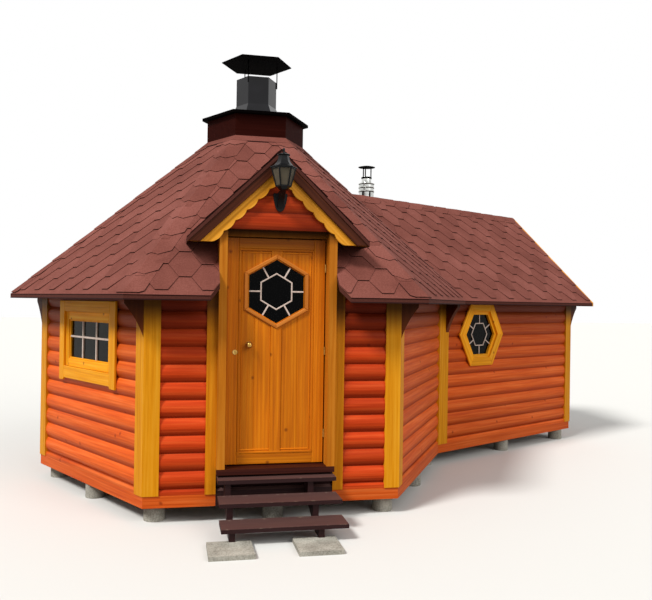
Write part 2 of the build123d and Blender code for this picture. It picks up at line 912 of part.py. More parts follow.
flue_leg_ring = (flue_inner_radius + flue_bore) / 2
cap_run = (flue_cap_radius - flue_cap_crown) * cos(radians(half_turn / flue_sides))
flue_cap_lean = degrees(atan(cap_run / flue_cap_rise))
with BuildPart() as flue_cap:
    with BuildSketch(flue_base.offset(flue_top + flue_cap_gap)):
        RegularPolygon(flue_cap_radius, flue_sides)
    extrude(amount=flue_cap_rise, taper=flue_cap_lean)
    with BuildSketch(flue_base.offset(flue_top)):
        with PolarLocations(flue_leg_ring, 3):
            Rectangle(flue_inner_radius - flue_bore, flue_leg_width)
    extrude(amount=flue_cap_gap)
save(flue_cap, "flue_cap")

# Door frame: two jambs with a stop behind the leaf, joined by a head that is rebated above the leaf
jambs = []
for hand in (-1, 1):
    outline = [
        (hand * doorway_half, -jamb_front),
        (hand * jamb_outer, -jamb_front),
        (hand * jamb_outer, -jamb_back + stop_thickness),
        (hand * (doorway_half - stop_lip), -jamb_back + stop_thickness),
        (hand * (doorway_half - stop_lip), -jamb_back),
        (hand * doorway_half, -jamb_back),
    ]
    jamb = prism(outline, floor_height + threshold_height, above_all)
    jambs.append(cut_below(jamb, [porch_underside(0 if hand > 0 else half_turn)]))

gable_front = jamb_front - gable_recess
gable_back = gable_front - gable_board
head_bottom = door_top + door_floor_gap
head_top = head_bottom + head_height
gable_bottom = head_top - gable_drop
with BuildPart() as door_frame:
    for jamb in jambs:
        add(jamb.part)
    with BuildSketch(section_plane(FRONT, 0, doorway_half)):
        with BuildLine():
            Polyline(
                (gable_back, gable_bottom),
                (gable_back, head_top),
                (jamb_back - stop_thickness, head_top),
                (jamb_back - stop_thickness, head_bottom),
                (door_face, head_bottom),
                (door_face, gable_bottom),
                close=True,
            )
        make_face()
    extrude(amount=2 * doorway_half)
save(door_frame, "door_frame")

with BuildPart() as door_threshold:
    with BuildSketch(section_plane(FRONT, 0, jamb_outer)):
        with BuildLine():
            Polyline(
                (jamb_front, frame_top),
                (jamb_front, floor_height + threshold_height),
                (jamb_back - stop_thickness, floor_height + threshold_height),
                (jamb_back - stop_thickness, floor_height),
                (wall_inside, floor_height),
                (wall_inside, frame_top),
                close=True,
            )
        make_face()
    extrude(amount=2 * jamb_outer)
save(door_threshold, "door_threshold")

# Red gable boards between the jambs
gable_section = section_plane(FRONT, gable_front, doorway_half)
gable_foot = [(-gable_bulge, gable_bottom)]
gable_width = 2 * doorway_half
gable_boards = log_panel(
    gable_section, gable_width, gable_bottom, porch_apex, gable_course, gable_bulge, gable_board, gable_foot
)
porch_gable = cut_below(gable_boards, [porch_underside(0), porch_underside(half_turn)])
save(porch_gable, "porch_gable")

# Porch roof slopes, lying on the front slope of the main roof
porch_valley = eave_reach - (porch_eave_height - eave_height) / slope - porch_half_width


def porch_roof(hand):
    points = [
        (0, -roof_front_edge),
        (hand * porch_half_width, -roof_front_edge),
        (hand * porch_half_width, -porch_valley - porch_half_width),
        (0, -porch_valley),
    ]
    with BuildPart() as boards:
        add(roof_slab(points, porch_underside(0 if hand > 0 else half_turn)).part)
        add(roof_front.part, mode=Mode.SUBTRACT)
    return boards


save(porch_roof(-1), "porch_roof_left")
save(porch_roof(1), "porch_roof_right")

# Cheeks between the main roof and the porch roof, behind the jambs
cheeks = []
for hand in (-1, 1):
    outline = [
        (hand * (jamb_outer - cheek_thickness), -jamb_back + stop_thickness),
        (hand * jamb_outer, -jamb_back + stop_thickness),
        (hand * jamb_outer, -dormer_back),
        (hand * (jamb_outer - cheek_thickness), -dormer_back),
    ]
    with BuildPart() as cheek:
        add(prism(outline, eave_height, above_all).part)
        split(bisect_by=porch_underside(0 if hand > 0 else half_turn), keep=Keep.BOTTOM)
        split(bisect_by=main_underside(FRONT), keep=Keep.TOP)
    cheeks.append(cheek)
porch_cheeks = joined(cheeks)
save(porch_cheeks, "porch_cheeks")

# Dark fascia and the scalloped bargeboards behind it
barge_foot = porch_eave_height + barge_foot_rise


def slope_run(drop):
    """Distance from the middle at the foot of a board that hangs a given plumb drop below the roof."""
    return (porch_apex - drop - barge_foot) / slope


fascia_drop = fascia_width / cos(radians(roof_pitch))
with BuildPart() as porch_fascia:
    with BuildSketch(face_plane(FRONT, jamb_front + scallop_board_thickness)):
        with BuildLine():
            Polyline(
                (-slope_run(0), barge_foot),
                (0, porch_apex),
                (slope_run(0), barge_foot),
                (slope_run(fascia_drop), barge_foot),
                (0, porch_apex - fascia_drop),
                (-slope_run(fascia_drop), barge_foot),
                close=True,
            )
        make_face()
    extrude(amount=fascia_thickness)
save(porch_fascia, "porch_fascia")

scallop_drop = (scallop_board_width - scallop_depth) / cos(radians(roof_pitch))
edge_foot = Vector(slope_run(scallop_drop), barge_foot)
edge_head = Vector(0, porch_apex - scallop_drop)
edge_step = (edge_head - edge_foot) / scallop_count
edge_normal = Vector(-sin(radians(roof_pitch)), -cos(radians(roof_pitch)))
with BuildPart() as porch_bargeboards:
    with BuildSketch(face_plane(FRONT, jamb_front)):
        with BuildLine():
            Line((0, edge_head.Y), (0, porch_apex))
            Line((0, porch_apex), (slope_run(0), barge_foot))
            Line((slope_run(0), barge_foot), (edge_foot.X, edge_foot.Y))
            for lobe in range(scallop_count):
                start = edge_foot + edge_step * lobe
                end = start + edge_step
                crown = (start + end) / 2 + edge_normal * scallop_depth
                ThreePointArc((start.X, start.Y), (crown.X, crown.Y), (end.X, end.Y))
        make_face()
        split(bisect_by=Plane.YZ, keep=Keep.TOP)
        mirror(about=Plane.YZ)
    extrude(amount=scallop_board_thickness)
save(porch_bargeboards, "porch_bargeboards")

# Door leaf: frame and panels with a six-sided light
window_hexagon_turn = 30
with BuildPart() as door_leaf:
    with BuildSketch(face_plane(FRONT, door_face, 0, (door_bottom + door_top) / 2)):
        Rectangle(door_width, door_height)
    extrude(amount=-door_thickness)
    with BuildSketch(face_plane(FRONT, door_face)):
        with Locations((0, (door_bottom + door_top) / 2)):
            Rectangle(door_width - 2 * door_stile, door_height - 2 * door_rail)
        with Locations((0, door_bottom)):
            Rectangle(
                door_centre_stile,
                door_window_height - door_bottom,
                align=(Align.CENTER, Align.MIN),
                mode=Mode.SUBTRACT,
            )
        with Locations((0, door_window_height)):
            RegularPolygon(
                door_window_frame_radius, 6, rotation=window_hexagon_turn, mode=Mode.SUBTRACT
            )
    extrude(amount=-panel_recess, mode=Mode.SUBTRACT)
    with BuildSketch(face_plane(FRONT, door_face, 0, door_window_height)):
        RegularPolygon(door_window_frame_radius, 6, rotation=window_hexagon_turn)
        RegularPolygon(
            door_window_frame_radius - window_moulding_width,
            6,
            rotation=window_hexagon_turn,
            mode=Mode.SUBTRACT,
        )
    extrude(amount=window_moulding_proud)
    with BuildSketch(face_plane(FRONT, door_face, 0, door_window_height)):
        RegularPolygon(door_window_radius, 6, rotation=window_hexagon_turn)
    extrude(amount=-door_thickness, mode=Mode.SUBTRACT)
    with BuildSketch(face_plane(FRONT, door_back, 0, door_window_height)):
        RegularPolygon(door_window_radius + glazing_rebate, 6, rotation=window_hexagon_turn)
    extrude(amount=glass_thickness + bead_depth, mode=Mode.SUBTRACT)
save(door_leaf, "door_leaf")

with BuildPart() as door_glass:
    with BuildSketch(face_plane(FRONT, door_back + bead_depth, 0, door_window_height)):
        RegularPolygon(door_window_radius + glazing_rebate, 6, rotation=window_hexagon_turn)
    extrude(amount=glass_thickness)
save(door_glass, "door_glass")

# Round knob and the key plate beside it
knob_run = -door_width / 2 + knob_inset
key_plate_run = -door_width / 2 + key_plate_inset
knob_seat = spot(FRONT, door_face - panel_recess, knob_run, floor_height + knob_rise)
knob_axis = Axis(knob_seat, outward(FRONT))
knob_section = Plane(knob_seat, x_dir=(1, 0, 0), z_dir=(0, 0, 1))
ball_middle = knob_radius - knob_reach
ball_angles = (80, 140)
knob_outline = [(0, 0), (rose_radius, 0), (neck_radius, -rose_thickness)]
for angle in ball_angles:
    ball_out = knob_radius * sin(radians(angle))
    knob_outline.append((ball_out, ball_middle + knob_radius * cos(radians(angle))))
knob_outline.append((0, -knob_reach))
with BuildPart() as door_knob:
    with BuildSketch(knob_section):
        with BuildLine():
            Polyline(*knob_outline, close=True)
        make_face()
    revolve(axis=knob_axis)
    with BuildSketch(face_plane(FRONT, door_face, key_plate_run, floor_height + key_plate_rise)):
        Circle(key_plate_radius)
    extrude(amount=key_plate_thickness)
save(door_knob, "door_knob")

# Lift-off hinges: the leaf's knuckle stands on the jamb's
hinge_x = door_width / 2 + hinge_axis_inset
hinge_y = -door_face - hinge_axis_out


def knuckle(bottom, height):
    """One knuckle of a hinge barrel."""
    with BuildPart() as barrel:
        with BuildSketch(Plane((hinge_x, hinge_y, bottom))):
            Circle(knuckle_radius)
        extrude(amount=height)
    return barrel


plate_front = -hinge_y - knuckle_radius + hinge_plate_lap
leaf_hinges, jamb_hinges = [], []
for hinge_rise in hinge_rises:
    low = floor_height + hinge_rise - knuckle_height
    high = low + knuckle_height + knuckle_gap
    leaf_plate = [
        (door_width / 2, -plate_front),
        (door_width / 2 + hinge_plate, -plate_front),
        (door_width / 2 + hinge_plate, -plate_front + hinge_plate_width),
        (door_width / 2, -plate_front + hinge_plate_width),
    ]
    leaf_hinges.append(prism(leaf_plate, high, high + knuckle_height))
    leaf_hinges.append(knuckle(high, knuckle_height))
    jamb_plate = [
        (doorway_half - hinge_plate, -plate_front + hinge_plate_lap),
        (doorway_half - hinge_plate, -plate_front + hinge_plate_width),
        (doorway_half, -plate_front + hinge_plate_width),
        (doorway_half, hinge_y - hinge_arm_front),
        (hinge_x + hinge_arm_side, hinge_y - hinge_arm_front),
        (hinge_x + hinge_arm_side, -plate_front + hinge_plate_lap),
    ]
    jamb_hinges.append(prism(jamb_plate, low, low + knuckle_height))
    jamb_hinges.append(knuckle(low, knuckle_height))
save(joined(leaf_hinges), "door_hinges")
save(joined(jamb_hinges), "jamb_hinges")

# Window in the front left wall: sash, glass and trim
crest = apothem - post_proud
with BuildPart() as side_window_sash:
    with BuildSketch(face_plane(LEFT_FRONT, crest, 0, side_window_middle)):
        Rectangle(side_window_width, side_window_height)
        Rectangle(
            side_window_width - 2 * side_window_frame,
            side_window_height - 2 * side_window_frame,
            mode=Mode.SUBTRACT,
        )
    extrude(amount=-wall_thickness)
    with BuildSketch(face_plane(LEFT_FRONT, wall_inside, 0, side_window_middle)):
        Rectangle(
            side_window_width - 2 * side_window_frame + 2 * glazing_rebate,
            side_window_height - 2 * side_window_frame + 2 * glazing_rebate,
        )
    extrude(amount=glass_thickness + bead_depth, mode=Mode.SUBTRACT)
save(side_window_sash, "side_window_sash")

with BuildPart() as side_window_glass:
    with BuildSketch(face_plane(LEFT_FRONT, wall_inside + bead_depth, 0, side_window_middle)):
        Rectangle(
            side_window_width - 2 * side_window_frame + 2 * glazing_rebate,
            side_window_height - 2 * side_window_frame + 2 * glazing_rebate,
        )
    extrude(amount=glass_thickness)
save(side_window_glass, "side_window_glass")

trim_inner = side_window_width / 2 - side_trim_cover
trim_outer = trim_inner + side_trim_width
with BuildPart() as side_window_trim:
    with BuildSketch(face_plane(LEFT_FRONT, crest, 0, side_window_bottom)):
        for hand in (-1, 1):
            with Locations((hand * (trim_inner + side_trim_width / 2), -side_trim_tail)):
                Rectangle(
                    side_trim_width,
                    side_trim_tail + side_window_height + side_trim_width,
                    align=(Align.CENTER, Align.MIN),
                )
        with Locations((0, -side_trim_board)):
            Rectangle(2 * trim_inner, side_trim_board, align=(Align.CENTER, Align.MIN))
        with Locations((0, side_window_height)):
            Rectangle(2 * trim_inner, side_trim_width, align=(Align.CENTER, Align.MIN))
    extrude(amount=trim_thickness)
save(side_window_trim, "side_window_trim")

# Six-sided annex window: sash, glass and trim
annex_crest = annex_half - post_proud
with BuildPart() as annex_window_sash:
    with BuildSketch(face_plane(annex_front_azimuth, annex_crest, annex_window_out, annex_window_height)):
        RegularPolygon(annex_window_frame_radius, 6)
        RegularPolygon(annex_window_radius, 6, mode=Mode.SUBTRACT)
    extrude(amount=-wall_thickness)
    with BuildSketch(face_plane(annex_front_azimuth, annex_inside, annex_window_out, annex_window_height)):
        RegularPolygon(annex_window_radius + glazing_rebate, 6)
    extrude(amount=glass_thickness + bead_depth, mode=Mode.SUBTRACT)
save(annex_window_sash, "annex_window_sash")

with BuildPart() as annex_window_glass:
    glass_place = face_plane(
        annex_front_azimuth, annex_inside + bead_depth, annex_window_out, annex_window_height
    )
    with BuildSketch(glass_place):
        RegularPolygon(annex_window_radius + glazing_rebate, 6)
    extrude(amount=glass_thickness)
save(annex_window_glass, "annex_window_glass")

with BuildPart() as annex_window_trim:
    with BuildSketch(face_plane(annex_front_azimuth, annex_crest, annex_window_out, annex_window_height)):
        RegularPolygon(annex_window_trim_radius, 6)
        RegularPolygon(annex_window_trim_inner, 6, mode=Mode.SUBTRACT)
    extrude(amount=trim_thickness)
save(annex_window_trim, "annex_window_trim")

# Steps: treads on two notched stringers that stand on concrete slabs
treads = []
tread_length = 2 * (jamb_outer - tread_inset)
seats = []
tread_back = tread_wall_gap - post_proud
for step in range(tread_count):
    nose = tread_first_going + step * tread_going
    back = tread_back if step == 0 else nose - tread_going - tread_overhang
    top = floor_height - tread_drop - step * tread_rise
    seats += [(back, top - tread_thickness), (nose - tread_overhang, top - tread_thickness)]
    with BuildPart() as tread:
        with BuildSketch(section_plane(FRONT, apothem, tread_length / 2)):
            with Locations((back, top)):
                Rectangle(nose - back, tread_thickness, align=(Align.MIN, Align.MAX))
        extrude(amount=tread_length)
    treads.append(tread)
save(joined(treads), "stair_treads")

stringers = []
stringer_front = seats[-1][0]
for place in stringer_places:
    with BuildPart() as stringer:
        with BuildSketch(section_plane(FRONT, apothem, place + stringer_thickness / 2)):
            with BuildLine():
                Polyline(
                    *seats,
                    (stringer_front, slab_thickness),
                    (stringer_front - stringer_foot, slab_thickness),
                    (tread_back, stringer_heel),
                    close=True,
                )
            make_face()
        extrude(amount=stringer_thickness)
    stringers.append(stringer)
save(joined(stringers), "stair_stringers")

with BuildPart() as step_slabs:
    with BuildSketch():
        with Locations(*[plan(FRONT, apothem + slab_out, place) for place in slab_places]):
            Rectangle(slab_size, slab_size)
    extrude(amount=slab_thickness)
save(step_slabs, "step_slabs")

# Wall lantern: plate and arm, six-sided cage with a hood, and its glass
lantern_out = gable_front + lantern_reach
lantern_base = Plane((0, -lantern_out, 0))
lantern_glass_bottom = porch_apex - lantern_drop
lantern_glass_top = lantern_glass_bottom + lantern_glass_height
arm_top = lantern_glass_bottom - lantern_cup_height


def lantern_body(head_radius, foot_radius, height, top):
    """Six-sided body that narrows downwards from its top, made upright and mirrored."""
    head = lantern_base.offset(top)
    with BuildPart() as upright:
        with BuildSketch(head):
            RegularPolygon(head_radius, 6)
        extrude(amount=height, taper=six_sided_taper(head_radius, foot_radius, height))
    with BuildPart() as body:
        mirror(upright.part, about=head)
    return body


cup_foot = lantern_glass_foot_radius * lantern_cup_narrowing
with BuildPart() as lantern_bracket:
    with BuildSketch(face_plane(FRONT, gable_front, 0, arm_top - lantern_plate_drop)):
        Rectangle(lantern_plate_width, lantern_plate_height, align=(Align.CENTER, Align.MAX))
    extrude(amount=lantern_plate_thickness)
    with BuildSketch(section_plane(FRONT, gable_front, lantern_arm_width / 2)):
        with BuildLine():
            Line((lantern_plate_thickness, arm_top - lantern_plate_drop), (lantern_arm_rise, arm_top))
            Line((lantern_arm_rise, arm_top), (lantern_reach + lantern_glass_foot_radius / 2, arm_top))
            ThreePointArc(
                (lantern_reach + lantern_glass_foot_radius / 2, arm_top),
                (lantern_reach / 2, arm_top - lantern_arm_drop / 2),
                (lantern_plate_thickness, arm_top - lantern_arm_drop),
            )
            Line(
                (lantern_plate_thickness, arm_top - lantern_arm_drop),
                (lantern_plate_thickness, arm_top - lantern_plate_drop),
            )
        make_face()
    extrude(amount=lantern_arm_width)
    add(lantern_body(lantern_glass_foot_radius, cup_foot, lantern_cup_height, lantern_glass_bottom).part)
save(lantern_bracket, "lantern_bracket")


def lantern_glazing(inset):
    """Tapered six-sided glass, or the space inside it when inset."""
    head_radius = lantern_glass_head_radius - inset
    foot_radius = lantern_glass_foot_radius - inset
    return lantern_body(head_radius, foot_radius, lantern_glass_height, lantern_glass_top)


with BuildPart() as lantern_glass:
    add(lantern_glazing(0).part)
    add(lantern_glazing(lantern_glass_wall).part, mode=Mode.SUBTRACT)
save(lantern_glass, "lantern_glass")

hood_waist = lantern_glass_top + lantern_skirt_height
hood_top = hood_waist + lantern_crown_height
skirt_lean = six_sided_taper(lantern_hood_radius, lantern_waist_radius, lantern_skirt_height)
crown_lean = six_sided_taper(lantern_waist_radius, lantern_hood_neck, lantern_crown_height)
with BuildPart() as lantern_hood:
    with BuildSketch(lantern_base.offset(lantern_glass_top)):
        RegularPolygon(lantern_hood_radius, 6)
    extrude(amount=lantern_skirt_height, taper=skirt_lean)
    with BuildSketch(lantern_base.offset(hood_waist)):
        RegularPolygon(lantern_waist_radius, 6)
    extrude(amount=lantern_crown_height, taper=crown_lean)
    with BuildSketch(lantern_base.offset(hood_top)):
        Circle(lantern_dome_radius)
    extrude(amount=lantern_dome_height)
    with BuildSketch(lantern_base.offset(hood_top + lantern_dome_height)):
        Circle(lantern_finial_radius)
    extrude(amount=lantern_finial_height)
save(lantern_hood, "lantern_hood")
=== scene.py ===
import random
from math import ceil, cos, pi, radians, sin, sqrt, tan

import bmesh
import bpy
from mathutils import Matrix, Vector


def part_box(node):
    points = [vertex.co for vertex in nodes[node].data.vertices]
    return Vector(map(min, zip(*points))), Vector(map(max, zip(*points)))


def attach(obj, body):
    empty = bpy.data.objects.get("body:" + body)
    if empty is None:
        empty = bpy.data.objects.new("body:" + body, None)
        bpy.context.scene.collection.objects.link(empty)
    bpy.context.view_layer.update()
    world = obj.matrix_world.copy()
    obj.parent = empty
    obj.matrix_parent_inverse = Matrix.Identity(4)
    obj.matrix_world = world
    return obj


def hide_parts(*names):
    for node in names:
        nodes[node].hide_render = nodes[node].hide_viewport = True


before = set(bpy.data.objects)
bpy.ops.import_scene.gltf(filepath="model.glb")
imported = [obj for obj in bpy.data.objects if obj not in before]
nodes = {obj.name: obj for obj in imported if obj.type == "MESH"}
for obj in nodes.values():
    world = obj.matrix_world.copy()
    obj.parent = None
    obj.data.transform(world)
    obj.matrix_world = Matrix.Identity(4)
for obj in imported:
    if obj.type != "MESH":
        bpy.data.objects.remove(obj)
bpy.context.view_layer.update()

scene = bpy.context.scene


def junction(out, half):
    """How far along the annex its side, at a half width, meets the hexagon's side at an apothem."""
    return (out - half * sin(radians(60))) / cos(radians(60))


# Ways the faces look, in degrees round the hut
FRONT, RIGHT_FRONT, BACK, LEFT_BACK, LEFT_FRONT, ANNEX = 270, 330, 90, 150, 210, 30
ANNEX_FRONT, ANNEX_BACK = ANNEX - 90, ANNEX + 90

# Sizes in metres, as the solids have them
SIDE = 1.96
FLAT = cos(radians(30))
APOTHEM = SIDE * FLAT
CREST = APOTHEM - 0.008
WALL_INSIDE = APOTHEM - 0.053
WALL_END = SIDE / 2 - 0.12
PLANK_OUTER, JAMB_OUTER = 0.525, 0.445
SILL_FOOT, SILL_HEIGHT = 0.12, 0.09
TRIM_BOTTOM, FIRST_JOINT = 0.21, 0.252
LOG_HEIGHT, LOG_DEPTH, LOG_SAGITTA = 0.132, 0.045, 0.024
PITCH = radians(44)
SLOPE = tan(PITCH)
EAVE_REACH, EAVE_HEIGHT = APOTHEM + 0.24, 1.65
BOARD_PLUMB = 0.024 / cos(PITCH)
HUB, COLLAR_OUTER = 0.38 * FLAT, 0.47 * FLAT
ANNEX_HALF, ANNEX_REACH, ANNEX_EAVE = 1.02, APOTHEM + 2.473, 1.195
ANNEX_CREST, ANNEX_INSIDE = ANNEX_HALF - 0.008, ANNEX_HALF - 0.053
ANNEX_GABLE = ANNEX_REACH + 0.205
VALLEY_START = EAVE_REACH - ANNEX_EAVE
SPREAD = tan(radians(30))
HIP_OUT = VALLEY_START / (1 - SPREAD)
HIP_RUN = HIP_OUT * SPREAD
FOOT_OUT = junction(EAVE_REACH, ANNEX_EAVE)
JUNCTION_OUT = junction(APOTHEM, ANNEX_HALF)
JUNCTION_RUN = JUNCTION_OUT * sin(radians(60)) - ANNEX_HALF * cos(radians(60))
PORCH_HALF, PORCH_EAVE, PORCH_FRONT = 0.685, 2.078, APOTHEM + 0.11
PORCH_APEX = PORCH_EAVE + PORCH_HALF * SLOPE
PORCH_VALLEY = EAVE_REACH - (PORCH_EAVE - EAVE_HEIGHT) / SLOPE - PORCH_HALF
BARGE_FOOT = PORCH_EAVE + 0.008
DORMER_BACK = APOTHEM - 0.357
JAMB_FRONT = APOTHEM + 0.06
GABLE_FRONT, GABLE_FOOT, GABLE_COURSE = JAMB_FRONT - 0.01, 2.189, 0.128
DOOR_FACE, DOOR_HALF, DOOR_BOTTOM, DOOR_TOP = APOTHEM - 0.06, 0.376, 0.413, 2.132
DOOR_WINDOW_HEIGHT = 1.728
PANEL_HALF, PANEL_LOW, PANEL_HIGH = 0.291, DOOR_BOTTOM + 0.08, DOOR_TOP - 0.08
WALL_TOP = EAVE_HEIGHT + (EAVE_REACH - WALL_INSIDE) * SLOPE
ANNEX_WALL_TOP = EAVE_HEIGHT + (ANNEX_EAVE - ANNEX_INSIDE) * SLOPE
GABLE_TOP = EAVE_HEIGHT + ANNEX_EAVE * SLOPE
HEX_WALL_END = JUNCTION_RUN - 0.03
ANNEX_WALL_START, ANNEX_WALL_STOP = JUNCTION_OUT + 0.13, ANNEX_REACH - 0.115


def upward(height):
    return Vector((0, 0, height))


def outward(azimuth):
    return Vector((cos(radians(azimuth)), sin(radians(azimuth)), 0))


def along(azimuth):
    return Vector((-sin(radians(azimuth)), cos(radians(azimuth)), 0))


def spot(azimuth, out, run, height=0.0):
    return outward(azimuth) * out + along(azimuth) * run + upward(height)


def plan_of(azimuth, places):
    """Plan outline from places given as a way out and a way along a face."""
    return [tuple(spot(azimuth, out, run)[:2]) for out, run in places]


def on_circle(radius, angle):
    return radius * cos(radians(angle)), radius * sin(radians(angle))


def hexagon(radius, turn=0.0):
    return [on_circle(radius, turn + 60 * step) for step in range(6)]


def rectangle(left, right, low, high):
    return [(left, low), (right, low), (right, high), (left, high)]


def off_slope(azimuth):
    return outward(azimuth) * sin(PITCH) + upward(cos(PITCH))


def axes(x, y, z, origin):
    """Matrix whose columns are three directions and a place."""
    made = Matrix((x, y, z)).transposed().to_4x4()
    made.translation = origin
    return made


def wall_place(azimuth, out):
    """X along the wall, Y into the wall and Z up, from the ground below the middle of its face."""
    return axes(along(azimuth), -outward(azimuth), upward(1), spot(azimuth, out, 0))


def face_place(azimuth, out, run=0.0, height=0.0):
    """X along the wall, Y up and Z outwards."""
    return axes(along(azimuth), upward(1), outward(azimuth), spot(azimuth, out, run, height))


def roof_place(azimuth, reach, height):
    """X along the eaves, Y up the slope and Z off the slope, from the eaves' top edge."""
    rise = -outward(azimuth) * cos(PITCH) + upward(sin(PITCH))
    return axes(along(azimuth), rise, off_slope(azimuth), spot(azimuth, reach, 0, height + BOARD_PLUMB))


def slope_plane(azimuth, reach, height):
    """Underside of a roof slope as a plane."""
    return spot(azimuth, reach, 0, height), off_slope(azimuth)


def eave_plane(azimuth, reach):
    return spot(azimuth, reach, 0), outward(azimuth)


def outline_planes(outline, place=Matrix()):
    """Planes round an anticlockwise outline, facing out."""
    planes = []
    for here, after in zip(outline, outline[1:] + outline[:1]):
        run = Vector((after[0] - here[0], after[1] - here[1])).normalized()
        planes.append((place @ Vector((here[0], here[1], 0)), place.to_3x3() @ Vector((run.y, -run.x, 0))))
    return planes


def anticlockwise(corners):
    area = sum(a[0] * b[1] - b[0] * a[1] for a, b in zip(corners, corners[1:] + corners[:1]))
    return corners if area > 0 else corners[::-1]


# Materials
def linear(code):
    """An sRGB hex colour as linear values."""
    shades = [int(code[place : place + 2], 16) / 255 for place in (1, 3, 5)]
    return tuple([s / 12.92 if s <= 0.04045 else ((s + 0.055) / 1.055) ** 2.4 for s in shades] + [1.0])


def fill(tree, node, sockets):
    """Links or sets a node's inputs."""
    for key, value in sockets.items():
        if isinstance(value, bpy.types.NodeSocket):
            tree.links.new(value, node.inputs[key])
        else:
            node.inputs[key].default_value = value


def add(tree, kind, sockets=(), **settings):
    """Adds a node with its settings, fills or links its inputs, and gives its outputs."""
    made = tree.nodes.new(kind)
    for key, value in settings.items():
        setattr(made, key, value)
    fill(tree, made, dict(sockets))
    return made.outputs


def maths(tree, operation, *values):
    return add(tree, "ShaderNodeMath", enumerate(values), operation=operation)[0]


def vectors(tree, operation, *values):
    return add(tree, "ShaderNodeVectorMath", enumerate(values), operation=operation)[0]


def noise(tree, vector, scale, detail, roughness=0.5):
    return add(tree, "ShaderNodeTexNoise", {"Vector": vector, "Scale": scale, "Detail": detail,
                                            "Roughness": roughness})["Fac"]


def stretched(tree, vector, scale):
    return add(tree, "ShaderNodeMapping", {"Vector": vector, "Scale": scale})[0]


def remap(tree, value, low, high, start, stop):
    return add(tree, "ShaderNodeMapRange", {"Value": value, "From Min": low, "From Max": high,
                                            "To Min": start, "To Max": stop})[0]


def blend(tree, factor, one, two):
    """Between two values."""
    return add(tree, "ShaderNodeMix", {"Factor": factor, 2: one, 3: two})[0]


def mix(tree, factor, one, two):
    """Between two colours, each a socket or a hex code."""
    one, two = (linear(shade) if isinstance(shade, str) else shade for shade in (one, two))
    return add(tree, "ShaderNodeMix", {"Factor": factor, 6: one, 7: two}, data_type="RGBA")[2]


def ramp(tree, factor, *stops):
    """Colours at places from 0 to 1."""
    made = add(tree, "ShaderNodeValToRGB", {"Fac": factor})
    marks = made[0].node.color_ramp.elements
    marks[0].position, marks[1].position = stops[0][0], stops[-1][0]
    for place, _code in stops[1:-1]:
        marks.new(place)
    for mark, (_place, code) in zip(marks, stops):
        mark.color = linear(code)
    return made[0]


def relief(tree, height, strength, distance):
    return add(tree, "ShaderNodeBump", {"Height": height, "Strength": strength, "Distance": distance})[0]


def coat(tree, shader, colour, normal, rough, gloss, **more):
    """Gives a material its colour and relief, and sets the shader's own constants."""
    fill(tree, shader, {"Base Color": colour, "Normal": normal, "Roughness": rough, "Specular IOR Level": gloss})
    fill(tree, shader, {key.replace("_", " "): value for key, value in more.items()})


def facing_up(tree):
    """How far a face looks up, from -1 to 1."""
    normal = add(tree, "ShaderNodeNewGeometry")["True Normal"]
    return add(tree, "ShaderNodeSeparateXYZ", {"Vector": normal})["Z"]


def new_material(name):
    """Empty material, its tree and shader, and places read on the piece itself."""
    material = bpy.data.materials.new(name)
    material.use_nodes = True
    tree = material.node_tree
    return material, tree, tree.nodes["Principled BSDF"], add(tree, "ShaderNodeTexCoord")["Object"]


